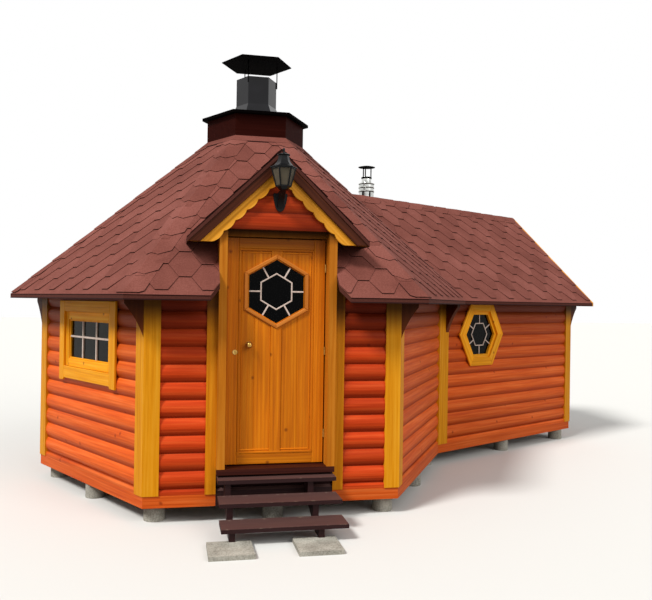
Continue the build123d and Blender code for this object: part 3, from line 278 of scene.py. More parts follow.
def stained_wood(name, deep, body, light, knot, grain=None, rough=0.5, ring=0.35, knots=0.3, gloss=0.16, shade=None,
                 painted_shade_band=(1.22, 1.56, 0.72), courses=None):
    """Stained softwood: long streaks from the growth rings, and knots. Grain runs along the boards' own map, or
    along one axis of the piece. From a given height upwards, as under an eave, the colour is drawn towards a shade
    colour as painted shade, and on logs the lower part of each log is darkened as painted shade, with a dark line
    along the joints."""
    material, tree, shader, place = new_material(name)
    height = add(tree, "ShaderNodeSeparateXYZ", {"Vector": place})["Z"]
    tone = add(tree, "ShaderNodeAttribute", attribute_name="tone")
    if grain is None:
        place = add(tree, "ShaderNodeUVMap", uv_map="grain")[0]
    else:
        turns = {"x": (0, 0, 0), "y": (0, 0, -pi / 2), "z": (0, pi / 2, 0)}
        place = add(tree, "ShaderNodeMapping", {"Vector": place, "Rotation": turns[grain]})[0]
    place = vectors(tree, "ADD", place, vectors(tree, "MULTIPLY", tone["Vector"], (17.3, 9.1, 5.7)))
    # Streaks 15-25 mm apart and about half a metre long
    streak = noise(tree, stretched(tree, place, (1.4, 42, 42)), 1, 6, 0.62)
    # Growth rings 8-12 mm apart, bent round knots
    rings = add(tree, "ShaderNodeTexWave", {"Vector": stretched(tree, place, (0.5, 8, 8)), "Scale": 1.6,
                                            "Distortion": 7, "Detail": 2, "Detail Scale": 0.7},
                bands_direction="Y")["Fac"]
    # Knots 20-30 mm across, about one in every third 230 mm cell
    cells = add(tree, "ShaderNodeTexVoronoi", {"Vector": place, "Scale": 4.4, "Randomness": 1.0},
                voronoi_dimensions="2D" if grain is None else "3D")
    spots = maths(tree, "MULTIPLY", remap(tree, cells["Distance"], 0.02, 0.085, 0.75, 0.0),
                  maths(tree, "LESS_THAN", cells["Color"], knots))
    colour = ramp(tree, streak, (0.22, deep), (0.48, body), (0.80, light))
    colour = mix(tree, maths(tree, "MULTIPLY", rings, ring), colour, deep)
    colour = mix(tree, spots, colour, knot)
    value = remap(tree, tone["Fac"], 0.0, 1.0, 0.84, 1.14)
    colour = add(tree, "ShaderNodeHueSaturation", {"Color": colour, "Value": value})[0]
    # Painted shade: the lower part of each log darkened towards the knot colour; a dark line along the joints
    if courses:
        foot, course = courses
        share = maths(tree, "FRACT", maths(tree, "DIVIDE", maths(tree, "SUBTRACT", height, foot), course))
        under, joint = remap(tree, share, 0.05, 0.42, 0.62, 0.0), remap(tree, share, 0.955, 0.99, 0.0, 0.8)
        colour = mix(tree, maths(tree, "MAXIMUM", under, joint), colour, knot)
    # Painted shade: from the band's low height up to its high one the colour goes towards the shade colour
    if shade:
        low, high, most = painted_shade_band
        colour = mix(tree, remap(tree, height, low, high, 0.0, most), colour, shade)
    coat(tree, shader, colour, relief(tree, maths(tree, "ADD", streak, rings), 0.35, 0.0012), rough, gloss, IOR=1.5)
    return material


def pitted(name, dark, body, light, scale, rough, metallic=0.0, depth=0.0006, detail=4, gloss=0.5):
    """Cast, painted or rolled surface whose colour wavers over a real grain size."""
    material, tree, shader, place = new_material(name)
    fine = noise(tree, place, scale, detail)
    colour = ramp(tree, blend(tree, 0.5, noise(tree, place, scale / 12, 3), fine),
                  (0.35, dark), (0.5, body), (0.66, light))
    coat(tree, shader, colour, relief(tree, fine, 0.4, depth), rough, gloss, IOR=1.5, Metallic=metallic)
    return material


ORANGE_STAIN = "#B83E0C", "#D95C1A", "#F07C3A", "#8A2A08"
# Heights over which painted shade under the eaves grows to full, and how strong it gets
EAVE_PAINTED_SHADE = 1.40, 1.61, 0.86
# Pine half logs under a red-orange wood stain: warm and satin, each log its own tone, darkened under the eaves and
# on each log's underside as painted shade
orange_log = stained_wood("stained pine log", *ORANGE_STAIN, ring=0.16, gloss=0.1, shade="#3A0E04",
                          courses=(FIRST_JOINT, LOG_HEIGHT))
sill_wood = stained_wood("stained pine sill", *ORANGE_STAIN, ring=0.2, gloss=0.1)
# The same stain on the front wall and the porch gable, made a deeper brick red as painted shade; on the front wall
# it darkens towards the eaves and on each log's underside as painted shade
red_log = stained_wood("stained pine log in painted shade", "#A02C0A", "#C23E12", "#DA5A26", "#6A1A06", ring=0.16, knots=0.1,
                       gloss=0.08, shade="#2C0602", courses=(FIRST_JOINT, LOG_HEIGHT))
gable_red = stained_wood("stained pine gable board in painted shade", "#942808", "#B43A10", "#CC5220", "#4A1004", ring=0.16,
                         knots=0.12, gloss=0.1, courses=(GABLE_FOOT, GABLE_COURSE))
cheek_board = stained_wood("deep stained pine cheek", "#7A1E08", "#A03412", "#BE4C20", "#4A1206", "y")
# The beam over the passage, orange like the walls
beam_pine = stained_wood("stained pine beam", "#A03808", "#D0581C", "#E87C3C", "#7A2A08", "x")
# Pine boards under a honey-yellow stain, the growth rings showing through
yellow_board = stained_wood("honey stained pine board", "#D68204", "#F8A212", "#FFC03C", "#8A4A04", ring=0.22,
                            gloss=0.1)
# The corner posts in the same stain, darkened towards the eaves as painted shade
yellow_upright = stained_wood("honey stained pine upright", "#CE7A00", "#EE9A10", "#FCB430", "#9A560A", "z",
                              ring=0.22, knots=0.2, gloss=0.1, shade="#2C1003", painted_shade_band=EAVE_PAINTED_SHADE)
# The planks beside the door and the scalloped boards are browner; the planks darken towards the eaves as painted
# shade
brown_upright = stained_wood("brown stained pine upright", "#C06C04", "#E68C0E", "#F6A626", "#7A3E04", "z",
                             ring=0.25, knots=0.2, gloss=0.1, shade="#2C1003", painted_shade_band=EAVE_PAINTED_SHADE)
scallop_board = stained_wood("brown stained scalloped board", "#BC7410", "#E89A22", "#FAB442", "#743A04", ring=0.3)
# The door's frame is browner still, and its head, which lies back under the gable, is darkened as painted shade
frame_wood = stained_wood("brown stained pine frame", "#A85A10", "#CC7818", "#DE9030", "#7A3E04", "z", ring=0.25,
                          knots=0.2, gloss=0.08, shade="#120602", painted_shade_band=(2.08, 2.19, 0.95))
# Varnished knotty pine of the door, browner than the boards round it and darkened towards its top as painted shade,
# and the bead round its window, made paler as a painted highlight
door_pine = stained_wood("varnished knotty pine", "#A6540A", "#CE7008", "#E48A16", "#6E3008", rough=0.4, ring=0.28,
                         gloss=0.12, shade="#3A1402", painted_shade_band=(1.94, 2.13, 0.62))
bead_pine = stained_wood("pine bead painted pale as highlight", "#A85A16", "#C87426", "#DA8A3C", "#8A4A18", rough=0.4, ring=0.2,
                         knots=0.05, gloss=0.14)
# Dark brown stain that hides most of the grain
dark_board = stained_wood("dark brown stained board", "#2E120A", "#48200F", "#643018", "#200C08", ring=0.2,
                          knots=0.2, gloss=0.1)
# The eave brackets, of the posts' honey-stained wood, are coloured dark brown as painted shade and darken further
# towards the eaves
bracket_board = stained_wood("honey stained pine bracket in painted shade", "#5E2409", "#7E3A12", "#9C541E", "#3E1806", "z",
                             ring=0.2, knots=0.1, gloss=0.08, shade="#240C04", painted_shade_band=(1.34, 1.62, 0.8))
collar_board = stained_wood("red-brown stained board", "#270A07", "#2F0E09", "#38140F", "#260C08", "x", ring=0.1,
                            knots=0.1, gloss=0.01)
threshold_wood = stained_wood("oiled threshold board", "#260A07", "#3C140C", "#542516", "#1C0805", "x", ring=0.3,
                              gloss=0.1)
# Bare planed pine of the floors, pale and dry
floor_pine = stained_wood("planed pine floor", "#B08850", "#C8A068", "#DAB886", "#7A5020", "x", ring=0.3)


def granules(tree, place):
    """Grains of about 1 mm, drawn 9 mm across so that they show in the picture."""
    return noise(tree, place, 110, 3)


def shingle_finish():
    """Bitumen shingle with mineral granules: rough, matt, red-brown, with single tabs lighter or darker and the cut
    edges nearly black, partly the bitumen's own dark edge and partly painted shadow under the tabs."""
    material, tree, shader, place = new_material("mineral-coated bitumen shingle")
    tone, edge = (add(tree, "ShaderNodeAttribute", attribute_name=name)["Fac"] for name in ("tone", "edge"))
    grit = granules(tree, place)
    mottled = blend(tree, 0.15, blend(tree, 0.45, grit, noise(tree, place, 3.2, 4)), tone)
    colour = mix(tree, edge, ramp(tree, mottled, (0.3, "#60332B"), (0.5, "#764339"), (0.72, "#8D554B")), "#2A100D")
    coat(tree, shader, colour, relief(tree, grit, 0.6, 0.002), 0.92, 0.12, IOR=1.5)
    return material


def roof_board():
    """Roof boards: brown stained below, and on their cut ends covered by the shingles' turned-down edge with a
    thin dark line along its foot."""
    material, tree, shader, place = new_material("brown stained roof board")
    grit = granules(tree, place)
    height = add(tree, "ShaderNodeSeparateXYZ", {"Vector": place})["Z"]
    foot = maths(tree, "LESS_THAN", height, EAVE_HEIGHT + 0.009)
    covered = mix(tree, foot, mix(tree, grit, "#3C1A13", "#5E342B"), "#2A1210")
    # Streaks along the boards about 20 mm apart
    stained = mix(tree, noise(tree, stretched(tree, place, (3, 40, 40)), 1, 5), "#2E140A", "#5A341C")
    cut_end = maths(tree, "LESS_THAN", maths(tree, "ABSOLUTE", facing_up(tree)), 0.3)
    coat(tree, shader, mix(tree, cut_end, stained, covered), relief(tree, grit, 0.4, 0.0015), 0.85, 0.12)
    return material


def worn_paint():
    """Dark red-brown paint on softwood steps: dark on the upright faces as painted shade, a lighter purple-brown on
    the treads as painted light, and walked through to pale wood in spots along their front edges."""
    material, tree, shader, place = new_material("worn brown paint on softwood")
    streak = noise(tree, stretched(tree, place, (3, 40, 40)), 1, 6, 0.7)
    # Spots 20-60 mm long, on the last 20 mm before each nosing; the nosings are 215 mm apart
    depth = add(tree, "ShaderNodeSeparateXYZ", {"Vector": place})["Y"]
    near = maths(tree, "PINGPONG", maths(tree, "ADD", depth, APOTHEM + 0.153), 0.1075)
    edge = remap(tree, near, 0.0, 0.022, 0.2, 0.0)
    bare = remap(tree, maths(tree, "ADD", noise(tree, place, 26, 5), edge), 0.72, 0.86, 0.0, 1.0)
    # Painted light and shade: faces that look up get the lighter streaked colour, all others the dark one
    level = maths(tree, "GREATER_THAN", facing_up(tree), 0.6)
    painted_light_and_shade = mix(tree, level, "#240C0C", ramp(tree, streak, (0.0, "#382120"), (1.0, "#62453F")))
    colour = mix(tree, maths(tree, "MULTIPLY", bare, level), painted_light_and_shade, "#94806E")
    coat(tree, shader, colour, relief(tree, streak, 0.4, 0.002), 0.6, 0.2)
    return material


def window_pane(name, colour, rough, gloss, clear=1.0):
    """Float glass, slightly wavy. Only a plain white surround is there to be mirrored, so its refraction is set
    low to keep the panes as dark as glass with a dim room behind it."""
    material, tree, shader, place = new_material(name)
    wave = relief(tree, noise(tree, place, 3, 1), 0.15, 0.002)
    coat(tree, shader, linear(colour), wave, rough, gloss, IOR=1.14, Transmission_Weight=clear)
    return material


shingle, soffit_board, step_paint = shingle_finish(), roof_board(), worn_paint()
# Cast concrete: grey, pitted at a few millimetres
concrete = pitted("cast concrete", "#7E796E", "#A29D90", "#C0BAAC", 90, 0.9, depth=0.002, gloss=0.2)
# Black stove enamel on folded sheet steel: near black, glossy enough to mirror the sky
black_sheet = pitted("black enamelled sheet steel", "#050408", "#0A090D", "#121116", 9, 0.12, detail=1, gloss=0.3)
# Matt black paint on the hat and the collar's top plate, roughened by soot
sooty_black = pitted("matt black painted sheet steel", "#020102", "#050303", "#0A0605", 40, 0.8, gloss=0.01)
# Black powder coat on cast lantern parts, satin
black_cast = pitted("black powder-coated casting", "#030303", "#060607", "#0C0C0E", 160, 0.36, depth=0.0003,
                    gloss=0.16)
# Rolled stainless tube: bright, soft mirror
stainless = pitted("rolled stainless steel", "#B4B5B1", "#CBCCC8", "#DFDFDB", 30, 0.3, metallic=1.0, depth=0.0002)
# Brass worn by hands: warm metal with duller patches
brass = pitted("hand-worn brass", "#8E6A30", "#B58C46", "#D2AE6A", 60, 0.3, metallic=1.0, depth=0.0002)
# Cream painted glazing bars
came = pitted("cream painted glazing bar", "#B4A092", "#CDB8AA", "#DCCBBE", 80, 0.5, depth=0.0003, gloss=0.3)
# Glass tinted dark as painted shade for the dim room behind it
glass = window_pane("float glass darkened as painted shade", "#24221E", 0.02, 0.5)
# Beige frosted panes of the lantern
frosted = window_pane("frosted beige glass", "#837A68", 0.45, 0.4, clear=0.6)


# Building pieces
def linked(name, data):
    """A new object in the scene."""
    made = bpy.data.objects.new(name, data)
    scene.collection.objects.link(made)
    return made


def keep(mesh, name, slot, material, *replaced, body="hut"):
    """Makes a finished mesh a piece that rides on a body."""
    mesh.name = name
    if not mesh.materials:
        mesh.materials.append(material)
    piece = linked(name, mesh)
    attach(piece, body)
    if replaced:
        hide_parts(*replaced)


def to_mesh(made, name="part", smooth=0):
    mesh = bpy.data.meshes.new(name)
    made.to_mesh(mesh)
    made.free()
    if smooth:
        mesh.shade_smooth()
        mesh.set_sharp_from_angle(angle=radians(smooth))
    return mesh


def finished(made, name, slot, material, *replaced, body="hut", smooth=30):
    keep(to_mesh(made, name, smooth), name, slot, material, *replaced, body=body)


# Ways the grain runs over a board's outline
ACROSS, UPRIGHT, UP_SLOPE = (1, 0), (0, 1), (-cos(PITCH), sin(PITCH))


def blank(shaded=True):
    """Empty mesh data with a map for the grain, a shade for each board and a mark for cut edges. What is
    repeated gets its shade where it is placed, and has none of its own."""
    made = bmesh.new()
    if shaded:
        made.verts.layers.float.new("tone")
    made.faces.layers.float.new("edge")
    made.loops.layers.uv.new("grain")
    return made


def ring_of(made, points, tone=0.5):
    """A vertex at every point, all in one shade."""
    ring = [made.verts.new(point) for point in points]
    layer = made.verts.layers.float.get("tone")
    if layer:
        for vertex in ring:
            vertex[layer] = tone
    return ring


def band(made, low, high):
    """Faces between two rings."""
    count = len(low)
    return [made.faces.new((low[here], low[(here + 1) % count], high[(here + 1) % count], high[here]))
            for here in range(count)]


def lids(made, rings):
    """Faces that close both ends."""
    return [made.faces.new(rings[0][::-1]), made.faces.new(rings[-1])]


def mapped(made, face, places):
    """Gives a face's corners their places on the grain's map."""
    layer = made.loops.layers.uv["grain"]
    for loop, place in zip(face.loops, places):
        loop[layer].uv = place


def extruded(made, section, levels, left, right, tone=0.5, place=Matrix()):
    """Bar of one section with its grain lengthwise; the levels run round the section on the grain's map."""
    ends = [ring_of(made, [place @ Vector((x, y, z)) for y, z in section], tone) for x in (left, right)]
    faces = lids(made, ends)
    for here, (low, high) in enumerate(zip(levels, levels[1:])):
        after = (here + 1) % len(section)
        faces.append(made.faces.new((ends[0][here], ends[1][here], ends[1][after], ends[0][after])))
        mapped(made, faces[-1], rectangle(left, right, low, high))
    bmesh.ops.recalc_face_normals(made, faces=faces)
    return faces


def offset_outline(outline, inset):
    """The same outline moved inwards by an even distance; it runs anticlockwise."""
    count = len(outline)
    moved = []
    for place in range(count):
        before, here, after = (Vector(outline[(place + turn) % count]) for turn in (-1, 0, 1))
        one, two = (here - before).normalized(), (after - here).normalized()
        normal_one, normal_two = Vector((-one.y, one.x)), Vector((-two.y, two.x))
        mitre = (normal_one + normal_two).normalized()
        moved.append(here + mitre * inset / max(mitre.dot(normal_one), 0.3))
    return moved


def board(made, outline, place, thickness, grain=ACROSS, bevel=0.002):
    """Board of even thickness over an anticlockwise outline in X and Y, standing off along Z, its edges eased."""
    shade = random.random()
    lengthwise = Vector(grain).normalized()
    across = Vector((-lengthwise.y, lengthwise.x))
    inner = offset_outline(outline, bevel)
    rings, local = [], {}
    for points, height in ((inner, 0), (outline, bevel), (outline, thickness - bevel), (inner, thickness)):
        rings.append(ring_of(made, [place @ Vector((*point, height)) for point in points], shade))
        local.update({vertex: (Vector(point), height) for vertex, point in zip(rings[-1], points)})
    faces = lids(made, rings)[::-1]
    for low, high in zip(rings, rings[1:]):
        faces += band(made, low, high)
    for face in faces:
        corners = [local[corner] for corner in face.verts]
        mapped(made, face, [(point.dot(lengthwise) + 0.3 * height, point.dot(across) + height)
                            for point, height in corners])


def rails(made, left, right, low, high, wide, place, thickness, bevel):
    """Boards along the foot and the head of a rectangle."""
    for foot in (low, high - wide):
        board(made, rectangle(left, right, foot, foot + wide), place, thickness, ACROSS, bevel)


def stiles(made, left, right, low, high, wide, place, thickness, bevel):
    """Boards up both sides of a rectangle."""
    for side in (left, right - wide):
        board(made, rectangle(side, side + wide, low, high), place, thickness, UPRIGHT, bevel)


def mirrored(made, shape, place, thickness, bevel=0.002, grain=UP_SLOPE):
    """A right-hand board and its mirror image; their grain runs up the slope unless told otherwise."""
    for hand in (-1, 1):
        outline = [(hand * x, y) for x, y in shape]
        board(made, outline[::hand], place, thickness, (hand * grain[0], grain[1]), bevel)


def hexagon_frame(made, outside, inside, turn, place, thickness, bevel=0.003):
    """Six mitred boards between two hexagons."""
    outer, inner = hexagon(outside, turn), hexagon(inside, turn)
    for here in range(6):
        after = (here + 1) % 6
        run = Vector(outer[after]) - Vector(outer[here])
        board(made, [outer[here], outer[after], inner[after], inner[here]], place, thickness, run, bevel)


def star_bars(name, body, place, radius, turn=0, depth=0.008):
    """Glazing bars: a small hexagon and six spokes from the middles of its sides to the frame."""
    middle, width = 0.137, 0.012
    made = blank()
    hexagon_frame(made, middle + width / 2, middle - width / 2, turn, place, depth, 0.0015)
    for here in range(6):
        reach = Vector(on_circle(1, turn + 30 + 60 * here))
        aside = Vector((-reach.y, reach.x)) * width / 2
        near, far = reach * (middle * FLAT), reach * (radius * FLAT)
        board(made, [near - aside, far - aside, far + aside, near + aside], place, depth - 0.0005, ACROSS, 0.0015)
    finished(made, name, "yellow_trim", came, body=body)


def raised(level, profile):
    """(radius, height) pairs lifted to a level."""
    return [(radius, level + height) for radius, height in profile]


def level_rings(profile, sides, place):
    """Points of a level ring for every (radius, height) pair."""
    angles = [2 * pi * step / sides for step in range(sides)]
    return [[place @ Vector((radius * cos(angle), radius * sin(angle), height)) for angle in angles]
            for radius, height in profile]


def turned(made, profile, sides=32, place=Matrix()):
    """Closed body with a level outline of so many sides, from (radius, height) pairs going up the outside."""
    rings = [ring_of(made, points) for points in level_rings(profile, sides, place)]
    lids(made, rings)
    for low, high, (_radius, foot), (_next, head) in zip(rings, rings[1:], profile, profile[1:]):
        for here, face in enumerate(band(made, low, high)):
            u, v = here * 0.01, (here + 1) * 0.01
            mapped(made, face, [(foot, u), (foot, v), (head, v), (head, u)])


def tube(made, outside, inside, sides=32, place=Matrix()):
    """Hollow turned body: up the outside, over the rim and down the inside, closed below."""
    rings = [ring_of(made, points, 0.0) for points in level_rings(outside + inside[::-1], sides, place)]
    for low, high in zip(rings, rings[1:] + rings[:1]):
        band(made, low, high)


def rod(made, start, end, width):
    """Square rod from one point to another."""
    line = (end - start).normalized()
    aside = line.cross(upward(1) if abs(line.z) < 0.95 else Vector((1, 0, 0))).normalized()
    other = line.cross(aside)
    rings = [ring_of(made, [point + (aside * a + other * b) * width / 2 for a, b in rectangle(-1, 1, -1, 1)])
             for point in (start, end)]
    bmesh.ops.recalc_face_normals(made, faces=lids(made, rings) + band(made, *rings))


def trimmed(mesh, planes, close=True):
    """Copy of a mesh cut to what lies behind every plane; a solid's openings are closed again."""
    made = bmesh.new()
    made.from_mesh(mesh)
    for point, normal in planes:
        geometry = made.verts[:] + made.edges[:] + made.faces[:]
        got = bmesh.ops.bisect_plane(made, geom=geometry, dist=1e-6, plane_co=point, plane_no=normal,
                                     clear_outer=True)
        rim = [item for item in got["geom_cut"] if isinstance(item, bmesh.types.BMEdge) and item.is_boundary]
        if close and rim:
            bmesh.ops.holes_fill(made, edges=rim, sides=0)
    return made


def absorb(made, part):
    """Moves one mesh's data into another."""
    scrap = to_mesh(part)
    made.from_mesh(scrap)
    bpy.data.meshes.remove(scrap)


def around(mesh, planes, close=True):
    """Copy of a mesh without the part that lies behind every plane, as pieces side by side."""
    pieces = blank()
    inside = []
    for point, normal in planes:
        absorb(pieces, trimmed(mesh, inside + [(point, -Vector(normal))], close))
        inside.append((point, normal))
    return pieces


# Growing what repeats
def new_tree(name, **inputs):
    """Empty tree with its named inputs, every one of a socket kind."""
    tree = bpy.data.node_groups.new(name, "GeometryNodeTree")
    for label, kind in inputs.items():
        tree.interface.new_socket(label, in_out="INPUT", socket_type="NodeSocket" + kind)
    tree.interface.new_socket("Geometry", in_out="OUTPUT", socket_type="NodeSocketGeometry")
    return tree, add(tree, "NodeGroupInput")


def on_points(tree, given, points):
    """Puts the piece on the points, gives each its own shade and ends the tree in plain mesh."""
    piece = add(tree, "GeometryNodeObjectInfo", {"Object": given["Piece"]}, transform_space="ORIGINAL")
    copies = add(tree, "GeometryNodeInstanceOnPoints", {"Points": points, "Instance": piece["Geometry"]})
    shade = add(tree, "FunctionNodeRandomValue", {"Seed": given["Seed"]}, data_type="FLOAT")
    shaded = add(tree, "GeometryNodeStoreNamedAttribute", {"Geometry": copies[0], "Name": "tone",
                                                           "Value": shade[1]},
                 data_type="FLOAT", domain="INSTANCE")
    real = add(tree, "GeometryNodeRealizeInstances", {"Geometry": shaded[0]})
    dressed = add(tree, "GeometryNodeSetMaterial", {"Geometry": real[0], "Material": given["Material"]})
    add(tree, "NodeGroupOutput", {0: dressed[0]})
    return tree


def row_tree():
    """Pieces in one straight row."""
    tree, given = new_tree("pieces in a row", Piece="Object", Count="Int", Start="Vector", Step="Vector",
                           Seed="Int", Material="Material")
    line = add(tree, "GeometryNodeMeshLine", {"Count": given["Count"], "Start Location": given["Start"],
                                              "Offset": given["Step"]}, mode="OFFSET")
    return on_points(tree, given, line[0])


def field_tree():
    """Pieces in rows, every other row moved along by half a pitch."""
    tree, given = new_tree("shingle tabs in rows", Piece="Object", Columns="Int", Rows="Int", Pitch="Float",
                           Exposure="Float", Start="Vector", Seed="Int", Material="Material")
    number = add(tree, "GeometryNodeInputIndex")[0]
    column = maths(tree, "MODULO", number, given["Columns"])
    row = maths(tree, "FLOOR", maths(tree, "DIVIDE", number, given["Columns"]))
    steps = maths(tree, "ADD", column, maths(tree, "MULTIPLY", maths(tree, "MODULO", row, 2.0), 0.5))
    place = add(tree, "ShaderNodeCombineXYZ", {"X": maths(tree, "MULTIPLY", steps, given["Pitch"]),
                                               "Y": maths(tree, "MULTIPLY", row, given["Exposure"])})[0]
    points = add(tree, "GeometryNodePoints", {"Count": maths(tree, "MULTIPLY", given["Columns"], given["Rows"]),
                                              "Position": vectors(tree, "ADD", place, given["Start"])})
    return on_points(tree, given, points[0])


def placed_tree():
    """A piece on every point of another mesh."""
    tree, given = new_tree("pieces on points", Piece="Object", Places="Object", Seed="Int", Material="Material")
    there = add(tree, "GeometryNodeObjectInfo", {"Object": given["Places"]}, transform_space="ORIGINAL")
    return on_points(tree, given, there["Geometry"])


def grown(tree, mesh, places=(), **values):
    """Runs a tree over one piece's mesh and gives the result as a plain mesh."""
    marks = bpy.data.meshes.new("places")
    marks.from_pydata([tuple(point) for point in places], [], [])
    values["Places"], values["Piece"] = linked("places", marks), linked("seedling", mesh)
    holder = linked("holder", bpy.data.meshes.new("holder"))
    modifier = holder.modifiers.new("grow", "NODES")
    modifier.node_group = tree
    for socket in tree.interface.items_tree:
        if socket.in_out == "INPUT":
            modifier[socket.identifier] = values[socket.name]
    depsgraph = bpy.context.evaluated_depsgraph_get()
    made = bpy.data.meshes.new_from_object(holder.evaluated_get(depsgraph), preserve_all_data_layers=True,
                                           depsgraph=depsgraph)
    holder.modifiers.remove(modifier)
    for spent in (holder, values["Piece"], values["Places"]):
        bpy.data.objects.remove(spent)
    return made


rows, fields, placed = row_tree(), field_tree(), placed_tree()
random.seed(4)


# Log walls
def log_mesh(left, right, height=LOG_HEIGHT, sagitta=LOG_SAGITTA, depth=LOG_DEPTH):
    """One half log or rounded board in its wall's place, lying on Z = 0: a flat arc over its height."""
    facets, half = 14, height / 2
    radius = (half**2 + sagitta**2) / (2 * sagitta)
    section = []
    for step in range(facets + 1):
        t = 2 * step / facets - 1
        section.append((radius - sqrt(radius**2 - (half * t) ** 2), half * (t + 1)))
    section += [(depth, height), (depth, 0)]
    lengths = [0.0]
    for a, b in zip(section, section[1:] + section[:1]):
        lengths.append(lengths[-1] + (Vector(b) - Vector(a)).length)
    made = blank(shaded=False)
    for face in extruded(made, section, lengths, left, right)[:2]:
        mapped(made, face, [(corner.co.y * 0.4, corner.co.z) for corner in face.verts])
    return to_mesh(made, "log")


def sill_top(made, left, right, place, tone):
    """Adds the flat sill beam under the logs, with its bevelled upper edge."""
    bevel = 0.018
    section = [(0, TRIM_BOTTOM), (0, FIRST_JOINT - bevel), (bevel, FIRST_JOINT), (LOG_DEPTH, FIRST_JOINT),
               (LOG_DEPTH, TRIM_BOTTOM)]
    levels = [height - depth for depth, height in section + section[:1]]
    extruded(made, section, levels, left, right, tone, place)


def log_wall(seed, node, azimuth, out, left, right, top, planes, material=orange_log, hole=()):
    """Half logs one above the other, cut off under the roof and round an opening."""
    name = "logs_" + node.replace("wall_", "")
    place = wall_place(azimuth, out)
    mesh = grown(rows, log_mesh(left, right), Count=ceil((top - FIRST_JOINT) / LOG_HEIGHT), Seed=seed,
                 Start=(0, 0, FIRST_JOINT), Step=(0, 0, LOG_HEIGHT), Material=material)
    mesh.transform(place)
    made = trimmed(mesh, planes + [(upward(top), upward(1))])
    if hole:
        made = around(to_mesh(made), hole)
    sill_top(made, left, right, place, (seed * 0.37) % 1)
    finished(made, name, "orange_logs" if material is orange_log else "red_logs", material, node)


def main_slope(azimuth):
    return slope_plane(azimuth, EAVE_REACH, EAVE_HEIGHT)


front_slope, back_slope = (slope_plane(azimuth, ANNEX_EAVE, EAVE_HEIGHT) for azimuth in (ANNEX_FRONT, ANNEX_BACK))
SIDE_WINDOW_FOOT, SASH_HALF, SASH_HEIGHT, ANNEX_SASH = 1.068, 0.45, 0.472, 0.33
STEP_WALL_TOP, ANNEX_END_HALF = 0.362, 0.905
annex_spot = APOTHEM + 0.621, 1.328
side_window = face_place(LEFT_FRONT, CREST, 0, SIDE_WINDOW_FOOT)
annex_window = face_place(ANNEX_FRONT, ANNEX_CREST, *annex_spot)
side_hole = outline_planes(rectangle(-SASH_HALF, SASH_HALF, 0, SASH_HEIGHT), side_window)
annex_hole = outline_planes(hexagon(ANNEX_SASH), annex_window)
log_walls = [
    ("wall_front_left", FRONT, CREST, -WALL_END, -PLANK_OUTER, WALL_TOP, [main_slope(FRONT)], red_log),
    ("wall_front_right", FRONT, CREST, PLANK_OUTER, WALL_END, WALL_TOP, [main_slope(FRONT)], red_log),
    # The logs below the door, behind the steps, take the steps' dark paint as painted shade
    ("wall_front_below", FRONT, CREST, -JAMB_OUTER, JAMB_OUTER, STEP_WALL_TOP, [], step_paint),
    ("wall_left_front", LEFT_FRONT, CREST, -WALL_END, WALL_END, WALL_TOP, [main_slope(LEFT_FRONT)], orange_log,
     side_hole),
    ("wall_left_back", LEFT_BACK, CREST, -WALL_END, WALL_END, WALL_TOP, [main_slope(LEFT_BACK)]),
    ("wall_back", BACK, CREST, -HEX_WALL_END, WALL_END, WALL_TOP, [main_slope(BACK)]),
    ("wall_right_front", RIGHT_FRONT, CREST, -WALL_END, HEX_WALL_END, WALL_TOP, [main_slope(RIGHT_FRONT)]),
    ("annex_wall_front", ANNEX_FRONT, ANNEX_CREST, ANNEX_WALL_START, ANNEX_WALL_STOP, ANNEX_WALL_TOP,
     [front_slope], orange_log, annex_hole),
    ("annex_wall_back", ANNEX_BACK, ANNEX_CREST, -ANNEX_WALL_STOP, -ANNEX_WALL_START, ANNEX_WALL_TOP, [back_slope]),
    ("annex_wall_end", ANNEX, ANNEX_REACH - 0.008, -ANNEX_END_HALF, ANNEX_END_HALF, GABLE_TOP,
     [front_slope, back_slope]),
]
for seed, row in enumerate(log_walls, 11):
    log_wall(seed, *row)

# Roof covering
TAB_WIDTH, TAB_FLAT, EXPOSURE, STARTER = 0.333, 0.045, 0.14, 0.05


def tab_mesh():
    """One hexagonal shingle tab: its lower edge stands up 8 mm and its head lies flat under the next row."""
    made = blank(shaded=False)
    edge_layer = made.faces.layers.float["edge"]
    half, head = TAB_WIDTH / 2, 2 * EXPOSURE + 0.02
    slant = half - TAB_FLAT
    low = [(-half, EXPOSURE), (-slant, EXPOSURE), (-TAB_FLAT, 0), (TAB_FLAT, 0), (slant, EXPOSURE), (half, EXPOSURE)]

    def height(y):
        return 0.013 - 0.010 * y / head

    top = [made.verts.new((x, y, height(y))) for x, y in low + [(x, head) for x, _y in low[::-1]]]
    for here in range(5):
        made.faces.new((top[here], top[here + 1], top[10 - here], top[11 - here]))
    under = [made.verts.new((x, y + 0.001, height(y) - 0.0075)) for x, y in low]
    for here in range(5):
        face = made.faces.new((top[here + 1], top[here], under[here], under[here + 1]))
        # Painted shadow: the flat lower edges are marked fully dark, the slanted ones only partly
        face[edge_layer] = 0.55 if here in (1, 3) else 1.0
    return to_mesh(made, "tab")


def base_sheet(made, corners, azimuth, reach, height, lift=0.004, edge_drop=0.006, tone=0.5):
    """Flat sheet over a plan outline on a slope, with its edges turned down."""
    edge_layer = made.faces.layers.float["edge"]
    origin, off = roof_place(azimuth, reach, height).translation, off_slope(azimuth)

    def on_slope(point, above):
        plumb = Vector((point[0], point[1], 0))
        return plumb + Vector((0, 0, (origin + off * above - plumb).dot(off) / off.z))

    corners = anticlockwise(corners)
    top, under = (ring_of(made, [on_slope(point, above) for point in corners], tone)
                  for above in (lift, lift - edge_drop))
    lids(made, (under, top))
    for face in band(made, under, top):
        face[edge_layer] = 1.0


